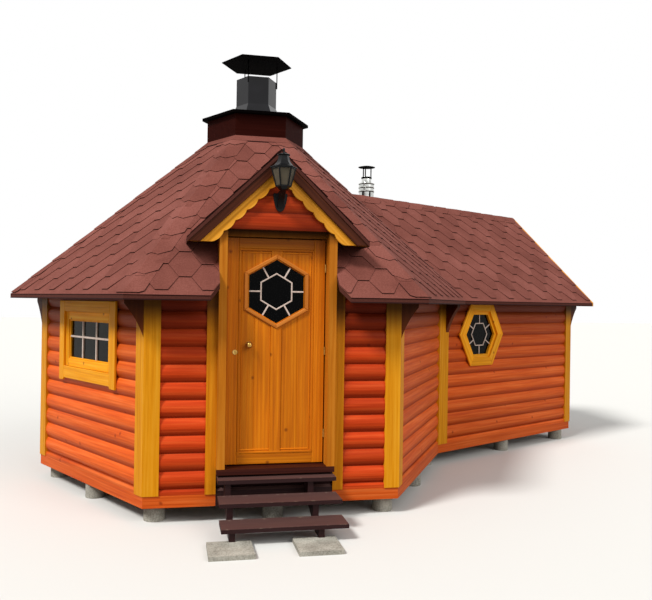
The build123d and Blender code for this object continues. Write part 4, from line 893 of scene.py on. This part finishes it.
def shingled(label, azimuth, reach, height, patches, seed, phase=0.0, gaps=()):
    """Covers one slope: rows of tabs cut to plan outlines, over a starter sheet."""
    plans = [anticlockwise(plan_of(patch_azimuth, patch)) for patch_azimuth, patch in patches]
    place = roof_place(azimuth, reach, height)
    corners = [Vector((x, y, 0)) for plan in plans for x, y in plan]
    runs = [(place.inverted() @ corner).x for corner in corners]
    depth = max(reach - corner.dot(outward(azimuth)) for corner in corners) / cos(PITCH)
    first = (min(runs) - phase) // TAB_WIDTH - 1
    field = grown(fields, tab_mesh(), Columns=ceil((max(runs) - min(runs)) / TAB_WIDTH) + 3,
                  Rows=ceil((depth - STARTER) / EXPOSURE), Pitch=TAB_WIDTH, Exposure=EXPOSURE,
                  Start=(first * TAB_WIDTH + phase, STARTER, 0), Seed=seed, Material=shingle)
    field.transform(place)
    made = blank()
    for plan in plans:
        absorb(made, trimmed(field, outline_planes(plan), close=False))
        base_sheet(made, plan, azimuth, reach, height)
    for gap in gaps:
        made = around(to_mesh(made), outline_planes(anticlockwise(plan_of(azimuth, gap))), close=False)
    finished(made, "shingles_" + label, "roof_shingles", shingle, smooth=0)


def sector(inner, outer):
    return [(inner, -inner * SPREAD), (outer, -outer * SPREAD), (outer, outer * SPREAD), (inner, inner * SPREAD)]


def neighbour_patch(hand):
    """The slope beside the annex, in the annex's own directions."""
    eave = spot(hand * 60, EAVE_REACH, hand * EAVE_REACH * SPREAD)
    inner = spot(hand * 60, HUB, hand * HUB * SPREAD)
    near = spot(0, HUB, hand * HUB * SPREAD)
    return [(near.x, near.y), (HIP_OUT, hand * HIP_RUN), (FOOT_OUT, hand * ANNEX_EAVE), (eave.x, eave.y),
            (inner.x, inner.y)]


PAST_EAVES = 2.2
whole = sector(HUB, EAVE_REACH)
dormer_gap = [(DORMER_BACK, -JAMB_OUTER), (DORMER_BACK, JAMB_OUTER), (PAST_EAVES, JAMB_OUTER),
              (PAST_EAVES, -JAMB_OUTER)]
eave_gap = [(EAVE_REACH - 0.09, -JAMB_OUTER), (EAVE_REACH - 0.09, JAMB_OUTER), (EAVE_REACH, JAMB_OUTER + 0.07),
            (EAVE_REACH + 0.1, JAMB_OUTER + 0.148), (EAVE_REACH + 0.1, -JAMB_OUTER - 0.148),
            (EAVE_REACH, -JAMB_OUTER - 0.07)]
hexagon_slopes = [
    ("front", FRONT, FRONT, whole, -0.86, dormer_gap, eave_gap),
    ("left_front", LEFT_FRONT, LEFT_FRONT, whole, 0.1),
    ("left_back", LEFT_BACK, LEFT_BACK, whole, 0.05),
    ("right_front", RIGHT_FRONT, ANNEX, neighbour_patch(-1), 0.02),
    ("back", BACK, ANNEX, neighbour_patch(1), 0.12),
    ("annex_side", ANNEX, ANNEX, sector(HUB, HIP_OUT), 0.0),
]
for seed, (label, azimuth, patch_azimuth, patch, phase, *gaps) in enumerate(hexagon_slopes, 21):
    shingled(label, azimuth, EAVE_REACH, EAVE_HEIGHT, [(patch_azimuth, patch)], seed, phase, gaps)
for hand, label, seed in ((-1, "front", 27), (1, "back", 28)):
    valley_foot = (VALLEY_START + ANNEX_EAVE, hand * ANNEX_EAVE)
    main = [(VALLEY_START, 0), (ANNEX_GABLE, 0), (ANNEX_GABLE, hand * ANNEX_EAVE), valley_foot]
    corner = [(HIP_OUT, hand * HIP_RUN), valley_foot, (FOOT_OUT, hand * ANNEX_EAVE)]
    shingled("annex_" + label, ANNEX + hand * 90, ANNEX_EAVE, EAVE_HEIGHT, [(ANNEX, main), (ANNEX, corner)], seed)
for hand, label, azimuth, seed in ((-1, "left", 180, 29), (1, "right", 0, 30)):
    patch = [(PORCH_FRONT, 0), (PORCH_FRONT, hand * PORCH_HALF), (PORCH_VALLEY + PORCH_HALF, hand * PORCH_HALF),
             (PORCH_VALLEY, 0)]
    shingled("porch_" + label, azimuth, PORCH_HALF, PORCH_EAVE, [(FRONT, patch)], seed)


def cap_mesh(up, wings):
    """One cap folded over a hip or ridge; wings are the directions away from the fold and off each slope."""
    width, length, slant, fold, lift = 0.12, 0.30, 0.085, 0.03, 0.009
    made = blank(shaded=False)
    edge_layer = made.faces.layers.float["edge"]
    crown = sum((off for _away, off in wings), Vector()).normalized()
    rim = [(0, 0), (fold, 0), (TAB_FLAT, 0), (width, slant), (width, length)]
    for hand, (away, off) in zip((1, -1), wings):
        def at(t, s, sink=0.0):
            fall = lift * (1 - 0.75 * s / length) + 0.007 - sink
            normal = crown * max(1 - t / fold, 0) + off * min(t / fold, 1)
            return up * s + away * t + normal * fall

        for shape in ([(0, 0), (fold, 0), (fold, length), (0, length)], rim[1:] + [(fold, length)]):
            made.faces.new([made.verts.new(at(t, s)) for t, s in shape][::hand])
        tops, unders = ([made.verts.new(at(t, s, sink)) for t, s in rim] for sink in (0.0, 0.008))
        for here in range(len(rim) - 1):
            face = made.faces.new([unders[here], unders[here + 1], tops[here + 1], tops[here]][::hand])
            face[edge_layer] = 1.0
    return to_mesh(made, "cap")


def caps(name, start, end, one, two, seed, planes, spacing=0.24):
    """Caps from the low end to the high end of a line between two slopes."""
    line = end - start
    up = line.normalized()
    wings = []
    for azimuth in (one, two):
        off = off_slope(azimuth)
        away = up.cross(off)
        wings.append((-away if away.dot(outward(azimuth)) < 0 else away, off))
    if up.cross(wings[0][0]).dot(wings[0][1]) < 0:
        wings.reverse()
    mesh = grown(rows, cap_mesh(up, wings), Count=ceil(line.length / spacing), Start=start,
                 Step=up * spacing, Seed=seed, Material=shingle)
    finished(trimmed(mesh, planes + [(end, up)], close=False), name, "roof_shingles", shingle, smooth=0)


def hip_point(vertex, out):
    """Point on the top of the boards where two slopes of the hexagon meet, at a distance out of the middle."""
    return Vector((*on_circle(out / FLAT, vertex), EAVE_HEIGHT + (EAVE_REACH - out) * SLOPE + BOARD_PLUMB))


for vertex in (60, 120, 180, 240, 300, 0):
    one, two = (vertex - 30) % 360, (vertex + 30) % 360
    low = HIP_OUT if vertex in (0, 60) else EAVE_REACH
    caps(f"hip_caps_{vertex}", hip_point(vertex, low), hip_point(vertex, COLLAR_OUTER), one, two, 40 + vertex,
         [eave_plane(one, EAVE_REACH), eave_plane(two, EAVE_REACH)])
annex_ridge, porch_ridge = GABLE_TOP + BOARD_PLUMB, PORCH_APEX + BOARD_PLUMB
caps("ridge_caps_annex", spot(ANNEX, ANNEX_GABLE, 0, annex_ridge), spot(ANNEX, VALLEY_START + 0.03, 0, annex_ridge),
     ANNEX_FRONT % 360, ANNEX_BACK, 31, [eave_plane(ANNEX, ANNEX_GABLE)])
caps("ridge_caps_porch", spot(FRONT, PORCH_FRONT, 0, porch_ridge), spot(FRONT, PORCH_VALLEY + 0.03, 0, porch_ridge),
     180, 0, 32, [eave_plane(FRONT, PORCH_FRONT)], spacing=0.16)

# Plain strip of shingle round the foot of the collar
strip = blank()
for turn in range(6):
    azimuth = ANNEX + 60 * turn
    base_sheet(strip, plan_of(azimuth, sector(COLLAR_OUTER, COLLAR_OUTER + 0.058)), azimuth, EAVE_REACH,
               EAVE_HEIGHT, lift=0.015, edge_drop=0.01, tone=0.2)
finished(strip, "collar_strip", "roof_shingles", shingle, smooth=0)

# Side window: trim boards, a sash with a raised bead round the glass, and bars
TRIM_IN, TRIM_OUT, TRIM_FOOT, TRIM_TOP = 0.44, 0.535, -0.103, 0.567
PANE_HALF, PANE_LOW, PANE_HIGH, BEAD = 0.382, 0.068, 0.404, 0.012
TRIM_DEPTH, SASH_DEPTH, BEAD_DEPTH = 0.02, 0.045, 0.036
trim = blank()
tail = [(TRIM_IN, -0.108), (0.455, -0.123), (TRIM_OUT, -0.123), (TRIM_OUT, TRIM_TOP), (TRIM_IN, TRIM_TOP)]
mirrored(trim, tail, side_window, TRIM_DEPTH, 0.003, UPRIGHT)
for low, high in ((TRIM_FOOT, 0), (SASH_HEIGHT, TRIM_TOP)):
    board(trim, rectangle(-TRIM_IN, TRIM_IN, low, high), side_window, TRIM_DEPTH, ACROSS, 0.003)
finished(trim, "side_trim_boards", "yellow_trim", yellow_board, "side_window_trim")

sash = blank()
sash_place = face_place(LEFT_FRONT, CREST - SASH_DEPTH, 0, SIDE_WINDOW_FOOT)
stiles(sash, -SASH_HALF, SASH_HALF, 0, SASH_HEIGHT, SASH_HALF - PANE_HALF, sash_place, SASH_DEPTH, 0.003)
rails(sash, -PANE_HALF, PANE_HALF, 0, SASH_HEIGHT, PANE_LOW, sash_place, SASH_DEPTH, 0.003)
rails(sash, -PANE_HALF, PANE_HALF, PANE_LOW, PANE_HIGH, BEAD, sash_place, BEAD_DEPTH, 0.002)
stiles(sash, -PANE_HALF, PANE_HALF, PANE_LOW + BEAD, PANE_HIGH - BEAD, BEAD, sash_place, BEAD_DEPTH, 0.002)
finished(sash, "side_sash_boards", "door_pine", yellow_board, "side_window_sash")

bars = blank()
for middle in (-0.13, 0.13):
    board(bars, rectangle(middle - 0.008, middle + 0.008, PANE_LOW + BEAD, PANE_HIGH - BEAD), sash_place, 0.032,
          UPRIGHT, 0.002)
board(bars, rectangle(BEAD - PANE_HALF, PANE_HALF - BEAD, 0.251, 0.267), sash_place, 0.0325, ACROSS, 0.002)
finished(bars, "side_glazing_bars", "yellow_trim", came)

# Annex window: two hexagons of boards and star-shaped bars
ANNEX_PANE = 0.247
annex_boards, annex_sash = blank(), blank()
hexagon_frame(annex_boards, 0.388, 0.286, 0, annex_window, TRIM_DEPTH)
finished(annex_boards, "annex_trim_boards", "yellow_trim", yellow_board, "annex_window_trim")
hexagon_frame(annex_sash, ANNEX_SASH, ANNEX_PANE, 0, face_place(ANNEX_FRONT, ANNEX_INSIDE, *annex_spot),
              SASH_DEPTH)
finished(annex_sash, "annex_sash_boards", "door_pine", yellow_board, "annex_window_sash")
star_bars("annex_glazing_bars", "hut", face_place(ANNEX_FRONT, ANNEX_HALF - 0.033, *annex_spot), ANNEX_PANE)

# Bars on both sides of the door's glass
DOOR_PANE = 0.244
pane_back = -max(corner[1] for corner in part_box("door_glass"))
for name, out, depth in (("door_glazing_bars", DOOR_FACE - 0.02, 0.008),
                         ("door_inner_bars", pane_back - 0.008, 0.0085)):
    star_bars(name, "door", face_place(FRONT, out, 0, DOOR_WINDOW_HEIGHT), DOOR_PANE, 30, depth)

# Door leaf: stiles, rails and five panel boards, cut out round the window
LEAF, PANEL = 0.04, 0.032
door = blank()
door_back = face_place(FRONT, DOOR_FACE - LEAF)
window_back = face_place(FRONT, DOOR_FACE - LEAF, 0, DOOR_WINDOW_HEIGHT)
stiles(door, -DOOR_HALF, DOOR_HALF, DOOR_BOTTOM, DOOR_TOP, DOOR_HALF - PANEL_HALF, door_back, LEAF, 0.003)
rails(door, -PANEL_HALF, PANEL_HALF, DOOR_BOTTOM, DOOR_TOP, 0.08, door_back, LEAF, 0.003)
joints = (-PANEL_HALF, -0.165, -0.042, 0.042, 0.165, PANEL_HALF)
for left, right, depth in zip(joints, joints[1:], (PANEL, PANEL, LEAF, PANEL, PANEL)):
    board(door, rectangle(left, right, PANEL_LOW, PANEL_HIGH), door_back, depth, UPRIGHT, 0.0025)
door = around(to_mesh(door, "leaf", 30),
              outline_planes(hexagon(DOOR_PANE, 30), face_place(FRONT, DOOR_FACE, 0, DOOR_WINDOW_HEIGHT)))
# Mouldings: a double bead inside the frame and a raised one round the window
for inset, wide, height in ((0, 0.016, 0.043), (0.024, 0.010, 0.036)):
    right = PANEL_HALF - inset
    low, high = PANEL_LOW + inset, PANEL_HIGH - inset
    rails(door, -right, right, low, high, wide, door_back, height, 0.003)
    stiles(door, -right, right, low + wide, high - wide, wide, door_back, height, 0.003)
hexagon_frame(door, 0.276, 0.252, 30, window_back, 0.043, 0.004)
finished(door, "door_leaf_boards", "door_pine", door_pine, "door_leaf", body="door")
bead = blank()
hexagon_frame(bead, 0.284, 0.252, 30, window_back, 0.049, 0.004)
finished(bead, "door_window_bead", "door_pine", bead_pine, body="door")

# Knob: rose, neck and ball, with the key plate below it
knob, keyhole = blank(), blank()
BALL, BALL_MIDDLE = 0.026, 0.036
ball = [(BALL * sin(radians(angle)), BALL_MIDDLE - BALL * cos(radians(angle))) for angle in range(28, 171, 13)]
turned(knob, [(0.027, 0), (0.027, 0.003), (0.024, 0.006), (0.013, 0.009), (0.009, 0.0105), (0.009, 0.012)] + ball,
       32, face_place(FRONT, DOOR_FACE - 0.008, -0.207, 1.32))
plate = face_place(FRONT, DOOR_FACE, -0.312, 1.264)
turned(knob, [(0.020, 0), (0.020, 0.0025), (0.0185, 0.004)], 32, plate)
finished(knob, "knob_and_key_plate", "brass", brass, "door_knob", body="door", smooth=40)
turned(keyhole, [(0.0035, 0.0035), (0.0035, 0.0043)], 16, plate @ Matrix.Translation((0, 0.004, 0)))
board(keyhole, [(-0.0025, -0.009), (0.0025, -0.009), (0.0015, 0.004), (-0.0015, 0.004)],
      plate @ Matrix.Translation((0, 0, 0.0035)), 0.0008, UPRIGHT, 0.0001)
finished(keyhole, "keyhole", "black_iron", black_cast, body="door")

# Piers, cast in round forms
pier = blank(shaded=False)
turned(pier, [(0.078, 0), (0.080, 0.002), (0.080, 0.117), (0.077, 0.120)])
pier_spots = [upward(0)] + [Vector((*corner, 0)) for corner in hexagon(SIDE - 0.18)]
pier_spots += [spot(side, APOTHEM - 0.097, 0) for side in (FRONT, RIGHT_FRONT, BACK, LEFT_BACK, LEFT_FRONT)]
annex_pier = ANNEX_REACH - 0.18
pier_spots += [spot(ANNEX, out, side * (ANNEX_HALF - 0.097))
               for out in ((annex_pier + APOTHEM) / 2, annex_pier) for side in (-1, 1)]
piers = grown(placed, to_mesh(pier, "pier"), places=pier_spots, Seed=51, Material=concrete)
piers.shade_smooth()
piers.set_sharp_from_angle(angle=radians(40))
keep(piers, "round_piers", "concrete", concrete, "concrete_piers")

# Flue: rolled tube with a cone at its head, three beads with dark rings under them as painted shadow, dark seams,
# and its cap on three legs
FLUE_RUN, FLUE_PLATE = 0.45, 0.155
flue_middle = spot(ANNEX, APOTHEM + 0.288, FLUE_RUN)
upright_flue = Matrix.Translation(flue_middle)
flue_roof = EAVE_HEIGHT + BOARD_PLUMB + (ANNEX_EAVE - FLUE_RUN) * SLOPE
flue_shoulder, flue_top = flue_roof + 0.687, flue_roof + 0.767
flue_foot = flue_roof - BOARD_PLUMB - 0.09 * SLOPE - 0.06
bead_levels = [flue_shoulder - drop for drop in (0.100, 0.055, 0.010)]
outside = [(0.090, flue_foot)]
for level in bead_levels:
    outside += raised(level, [(0.090, -0.001), (0.096, 0.001), (0.098, 0.004), (0.096, 0.007), (0.090, 0.009)])
outside += [(0.057, flue_shoulder + 0.014), (0.057, flue_top - 0.002), (0.056, flue_top)]
flue, seams_and_bead_shadows, cap = blank(), blank(), blank()
tube(flue, outside, [(0.052, flue_foot), (0.052, flue_top)], 40, upright_flue)
annex_slope = roof_place(ANNEX_BACK, ANNEX_EAVE, EAVE_HEIGHT)
middle = annex_slope.inverted() @ (flue_middle + upward(flue_roof))
board(flue, rectangle(middle.x - FLUE_PLATE, middle.x + FLUE_PLATE, middle.y - FLUE_PLATE, middle.y + FLUE_PLATE),
      annex_slope @ Matrix.Translation((0, 0, 0.0135)), 0.0015, ACROSS, 0.0004)
finished(flue, "flue_tube", "stainless", stainless, "flue_pipe", smooth=40)
# Dark rings just under the beads are painted shadow; the other rings and the two rods are dark seams
for level, profile in (
    *((level, [(0.0915, -0.007), (0.0925, -0.006), (0.0925, -0.002), (0.0915, -0.001)]) for level in bead_levels),
    (flue_roof, [(0.100, 0.07), (0.096, 0.085), (0.093, 0.1)]),
    (flue_top, [(0.0575, -0.024), (0.062, -0.022), (0.062, -0.004), (0.0575, -0.002)]),
):
    turned(seams_and_bead_shadows, raised(level, profile), 40, upright_flue)
for angle in (228, 282):
    at = outward(angle) * 0.097 + flue_middle
    rod(seams_and_bead_shadows, at + upward(flue_roof + 0.06), at + upward(flue_shoulder - 0.108), 0.012)
finished(seams_and_bead_shadows, "flue_seams", "stainless", sooty_black, smooth=40)
turned(cap, raised(flue_top, [(0.100, 0.114), (0.102, 0.115), (0.101, 0.117), (0.055, 0.128), (0.012, 0.134)]), 40,
       upright_flue)
for angle in (0, 120, 240):
    foot = flue_middle + outward(angle) * 0.0545 + upward(flue_top - 0.002)
    rod(cap, foot, foot + upward(0.117), 0.011)
finished(cap, "flue_rain_cap", "stainless", sooty_black, "flue_cap", smooth=40)

# Six-sided chimney with its flared foot
chimney_foot = EAVE_HEIGHT + BOARD_PLUMB + (EAVE_REACH - COLLAR_OUTER) * SLOPE + 0.25
shaft = blank()
tube(shaft, raised(chimney_foot, [(0.235, 0), (0.235, 0.055), (0.195, 0.137), (0.195, 0.399)]),
     raised(chimney_foot, [(0.229, 0), (0.229, 0.051), (0.189, 0.133), (0.189, 0.399)]), 6)
finished(shaft, "chimney_shaft", "black_sheet", black_sheet, "chimney_pipe", smooth=12)

# Lantern: hood with hollowed sides, ring, dome and finial, and the bars of its cage
glass_foot = PORCH_APEX - 0.2495
glass_head = glass_foot + 0.138
CAGE_FOOT, CAGE_HEAD = 0.0525, 0.0885
lantern_middle = Vector((0, -(GABLE_FRONT + 0.158), 0))
lantern_place = Matrix.Translation(lantern_middle)
hood, bracket = blank(), blank()
sides = [(0.102, 0), (0.102, 0.005)]
for step in range(9):
    t = (step + 1) / 9
    sides.append((0.098 - 0.058 * (1 - (1 - t) ** 2.2), 0.007 + 0.085 * t**1.35))
turned(hood, raised(glass_head, sides), 6, lantern_place)
finial = [(0.038, 0), (0.047, 0.001), (0.047, 0.005), (0.042, 0.007), (0.036, 0.0105), (0.024, 0.0135),
          (0.012, 0.0145), (0.006, 0.020), (0.005, 0.030), (0.008, 0.036), (0.009, 0.042), (0.007, 0.050),
          (0.002, 0.056)]
turned(hood, raised(glass_head + 0.092, finial), 24, lantern_place)
for angle in range(0, 360, 60):
    reach, following = outward(angle), outward(angle + 60)
    rod(hood, lantern_middle + reach * CAGE_FOOT + upward(glass_foot),
        lantern_middle + reach * CAGE_HEAD + upward(glass_head), 0.011)
    for radius, level in ((CAGE_FOOT, glass_foot + 0.004), (CAGE_HEAD - 0.0015, glass_head - 0.004)):
        lifted = lantern_middle + upward(level)
        rod(hood, lifted + reach * radius, lifted + following * radius, 0.01)
arm_top = glass_foot - 0.024
section = axes(Vector((0, -1, 0)), upward(1), Vector((-1, 0, 0)), Vector((0.023, -GABLE_FRONT, 0)))
arm = [(0.012, arm_top), (0.012, arm_top - 0.12)]
for step in range(1, 9):
    t = step / 9
    arm.append((0.012 + 0.172 * t - 0.012 * sin(pi * t) * (1 - t), arm_top - 0.12 * (1 - t) ** 1.6))
board(bracket, arm + [(0.184, arm_top), (0.08, arm_top)], section, 0.046, ACROSS, 0.003)
shield = [(0.016, -0.112), (0.030, -0.098), (0.040, -0.07), (0.050, -0.03), (0.054, 0.012), (0.050, 0.022)]
board(bracket, [(0, -0.118)] + shield + [(-x, y) for x, y in shield[::-1]],
      face_place(FRONT, GABLE_FRONT, 0, arm_top - 0.025), 0.012, UPRIGHT, 0.003)
turned(bracket, [(0.0286, arm_top), (0.034, arm_top + 0.004), (0.046, arm_top + 0.016), (0.052, glass_foot - 0.001)],
       6, lantern_place)
finished(bracket, "lantern_arm_and_shield", "black_iron", black_cast, "lantern_bracket")
finished(hood, "lantern_hood_and_cage", "black_iron", black_cast, "lantern_hood", smooth=25)


# Porch boards
def slope_run(drop):
    """How far from the middle a board that hangs a plumb drop below the porch roof has its foot."""
    return (PORCH_APEX - drop - BARGE_FOOT) / SLOPE


fascia, scallops, verge = blank(), blank(), blank()
fascia_drop = 0.062 / cos(PITCH)
mirrored(fascia, [(slope_run(0), BARGE_FOOT), (0, PORCH_APEX), (0, PORCH_APEX - fascia_drop),
                  (slope_run(fascia_drop), BARGE_FOOT)], face_place(FRONT, JAMB_FRONT + 0.02), 0.022)
finished(fascia, "porch_fascia_boards", "dark_boards", dark_board, "porch_fascia")

# Six lobes hang from the lower edge of each scalloped board
LOBES, LOBE_SAG, LOBE_STEPS = 6, 0.016, 8
scallop_drop = (0.138 - LOBE_SAG) / cos(PITCH)
lobe_foot, lobe_head = Vector((slope_run(scallop_drop), BARGE_FOOT)), Vector((0, PORCH_APEX - scallop_drop))
lobe_step = (lobe_head - lobe_foot) / LOBES
lobe_off = Vector((-sin(PITCH), -cos(PITCH)))
half_lobe = lobe_step.length / 2
lobe_radius = (half_lobe**2 + LOBE_SAG**2) / (2 * LOBE_SAG)
shape = [(slope_run(0), BARGE_FOOT), (0, PORCH_APEX), (0, lobe_head.y)]
for lobe in reversed(range(LOBES)):
    for step in reversed(range(LOBE_STEPS)):
        t = step / LOBE_STEPS
        sag = sqrt(lobe_radius**2 - ((2 * t - 1) * half_lobe) ** 2) - (lobe_radius - LOBE_SAG)
        shape.append(tuple(lobe_foot + lobe_step * lobe + lobe_step * t + lobe_off * sag))
mirrored(scallops, shape, face_place(FRONT, JAMB_FRONT), 0.02, 0.0015)
finished(scallops, "scalloped_boards", "yellow_trim", scallop_board, "porch_bargeboards")

# Rounded boards of the gable, cut off under the porch roof
courses = grown(rows, log_mesh(-0.385, 0.385, GABLE_COURSE, 0.007, 0.022), Count=5, Start=(0, 0, GABLE_FOOT),
                Step=(0, 0, GABLE_COURSE), Seed=33, Material=gable_red)
courses.transform(wall_place(FRONT, GABLE_FRONT))
finished(trimmed(courses, [slope_plane(side, PORCH_HALF, PORCH_EAVE) for side in (0, 180)]), "gable_courses",
         "red_logs", gable_red, "porch_gable")

# Annex bargeboards
verge_lip = BOARD_PLUMB + 0.012
verge_drop = 0.11 / cos(PITCH) - verge_lip
mirrored(verge, [(ANNEX_EAVE, EAVE_HEIGHT), (ANNEX_EAVE, EAVE_HEIGHT + verge_lip), (0, GABLE_TOP + verge_lip),
                 (0, GABLE_TOP - verge_drop), (ANNEX_EAVE - verge_drop / SLOPE, EAVE_HEIGHT)],
         face_place(ANNEX, ANNEX_GABLE), 0.025)
finished(verge, "annex_verge_boards", "yellow_trim", scallop_board, "annex_bargeboards")


# Sill beams, one board to a side, mitred at the corners
def round_corners(out, half, end):
    """Plan corners at an apothem round the hexagon and the annex, anticlockwise from the back."""
    start = junction(out, half)
    corners = [on_circle(out / FLAT, angle) for angle in (120, 180, 240, 300)]
    corners += plan_of(ANNEX, [(start, -half), (end, -half), (end, half), (start, half)])
    return [Vector(corner) for corner in corners]


outer = round_corners(CREST, ANNEX_CREST, ANNEX_REACH - 0.008)
inner = round_corners(WALL_INSIDE, ANNEX_INSIDE, ANNEX_REACH - 0.053)
# Between the jambs the sill behind the steps is its own board in the steps' dark paint, as painted shade, and the
# front board stops on both sides of it
FRONT_SIDE = 2
front = outer[FRONT_SIDE : FRONT_SIDE + 2]
share = JAMB_OUTER / (front[1] - front[0]).length
behind = [front[0].lerp(front[1], at) for at in (0.5 - share, 0.5 + share)]
behind += [point + Vector((0, LOG_DEPTH)) for point in behind[::-1]]
sills, sill_in_painted_shade = blank(), blank()
sill_place = Matrix.Translation((0, 0, SILL_FOOT))
for here in range(8):
    after = (here + 1) % 8
    shapes = [[outer[here], outer[after], inner[after], inner[here]]]
    if here == FRONT_SIDE:
        shapes = [[outer[here], behind[0], behind[3], inner[here]],
                  [behind[1], outer[after], inner[after], behind[2]]]
    for shape in shapes:
        board(sills, shape, sill_place, SILL_HEIGHT, outer[after] - outer[here])
finished(sills, "sill_boards", "orange_logs", sill_wood, "sill_beams")
board(sill_in_painted_shade, behind, sill_place, SILL_HEIGHT, ACROSS, 0.001)
finished(sill_in_painted_shade, "sill_behind_steps", "step_timber", step_paint, "sill_beams")

# Materials of the solids that stay
dress = {
    yellow_upright: ["corner_posts"],
    brown_upright: ["door_planks"],
    frame_wood: ["door_frame"],
    bracket_board: ["eave_brackets"],
    collar_board: ["smoke_collar"],
    soffit_board: [name for name in nodes if "roof" in name],
    threshold_wood: ["door_threshold"],
    floor_pine: ["floor_main", "floor_annex", "floor_frame_main", "floor_frame_annex"],
    step_paint: ["stair_treads", "stair_stringers"],
    concrete: ["step_slabs"],
    sooty_black: ["collar_rim", "chimney_hat"],
    brass: ["door_hinges", "jamb_hinges"],
    glass: ["door_glass", "side_window_glass", "annex_window_glass"],
    frosted: ["lantern_glass"],
    cheek_board: ["porch_cheeks"],
    beam_pine: ["passage_beam"],
}
for material, names in dress.items():
    for name in names:
        slots = nodes[name].data.materials
        slots.clear()
        slots.append(material)


# Floor, light and camera
def seen(tree, *rays):
    """1 for rays of the kinds named, else 0."""
    path = add(tree, "ShaderNodeLightPath")
    found = path[rays[0]]
    for ray in rays[1:]:
        found = maths(tree, "MAXIMUM", found, path[ray])
    return found


FLOOR_REACH = 60
floor_mesh = bpy.data.meshes.new("studio_floor")
floor_mesh.from_pydata([(x, y, 0) for x, y in rectangle(-FLOOR_REACH, FLOOR_REACH, -FLOOR_REACH, FLOOR_REACH)],
                       [], [(0, 1, 2, 3)])
floor = linked("studio_floor", floor_mesh)
# The floor is pale to the camera and in mirrors, and throws less light up at the piece than it would
floor_material, tree, shader, _place = new_material("pale studio floor")
fill(tree, shader, {"Base Color": mix(tree, seen(tree, "Is Camera Ray", "Is Glossy Ray"), "#77736C", "#DEDCD6"),
                    "Roughness": 0.9})
floor_mesh.materials.append(floor_material)

# A dim sky lights the piece, and what is seen, mirrored or shows through glass is white
world = bpy.data.worlds.new("studio")
scene.world = world
world.use_nodes = True
sky = world.node_tree
sky.nodes.clear()
lit = add(sky, "ShaderNodeBackground", {"Color": (0.95, 0.97, 1, 1), "Strength": 0.46})
white = add(sky, "ShaderNodeBackground", {"Color": (1, 1, 1, 1), "Strength": 1.0})
either = add(sky, "ShaderNodeMixShader", {0: seen(sky, "Is Camera Ray", "Is Glossy Ray", "Is Transmission Ray"),
                                          1: lit[0], 2: white[0]})
add(sky, "ShaderNodeOutputWorld", {"Surface": either[0]})


def lamp(name, azimuth, elevation, strength, softness):
    """Distant soft light that comes from an azimuth and elevation."""
    data = bpy.data.lights.new(name, "SUN")
    data.energy = strength
    data.angle = radians(softness)
    towards = outward(azimuth) * cos(radians(elevation)) + upward(sin(radians(elevation)))
    linked(name, data).rotation_euler = towards.to_track_quat("Z", "Y").to_euler()


lamp("key_light", azimuth=215, elevation=48, strength=3.15, softness=14)
lamp("fill_light", azimuth=305, elevation=30, strength=1.05, softness=36)

# The eye's place and turn as the photo was taken, its lens in pixels of a picture 652 wide
FOCAL_PIXELS, PICTURE_WIDTH, SENSOR = 740.07, 652, 36.0
EYE = Vector((-0.789, -7.258, 1.65))
view = bpy.data.cameras.new("camera")
view.sensor_fit = "HORIZONTAL"
view.sensor_width = SENSOR
view.lens = FOCAL_PIXELS * SENSOR / PICTURE_WIDTH
camera = linked("camera", view)
yaw, tip, roll = radians(11.808), radians(-0.193), radians(0.846)
ahead = Vector((sin(yaw) * cos(tip), cos(yaw) * cos(tip), -sin(tip)))
right = Vector((cos(yaw), -sin(yaw), 0))
up = right.cross(ahead)
camera.matrix_world = axes(right * cos(roll) + up * sin(roll), up * cos(roll) - right * sin(roll), -ahead, EYE)
scene.camera = camera
scene.view_settings.view_transform = "Standard"
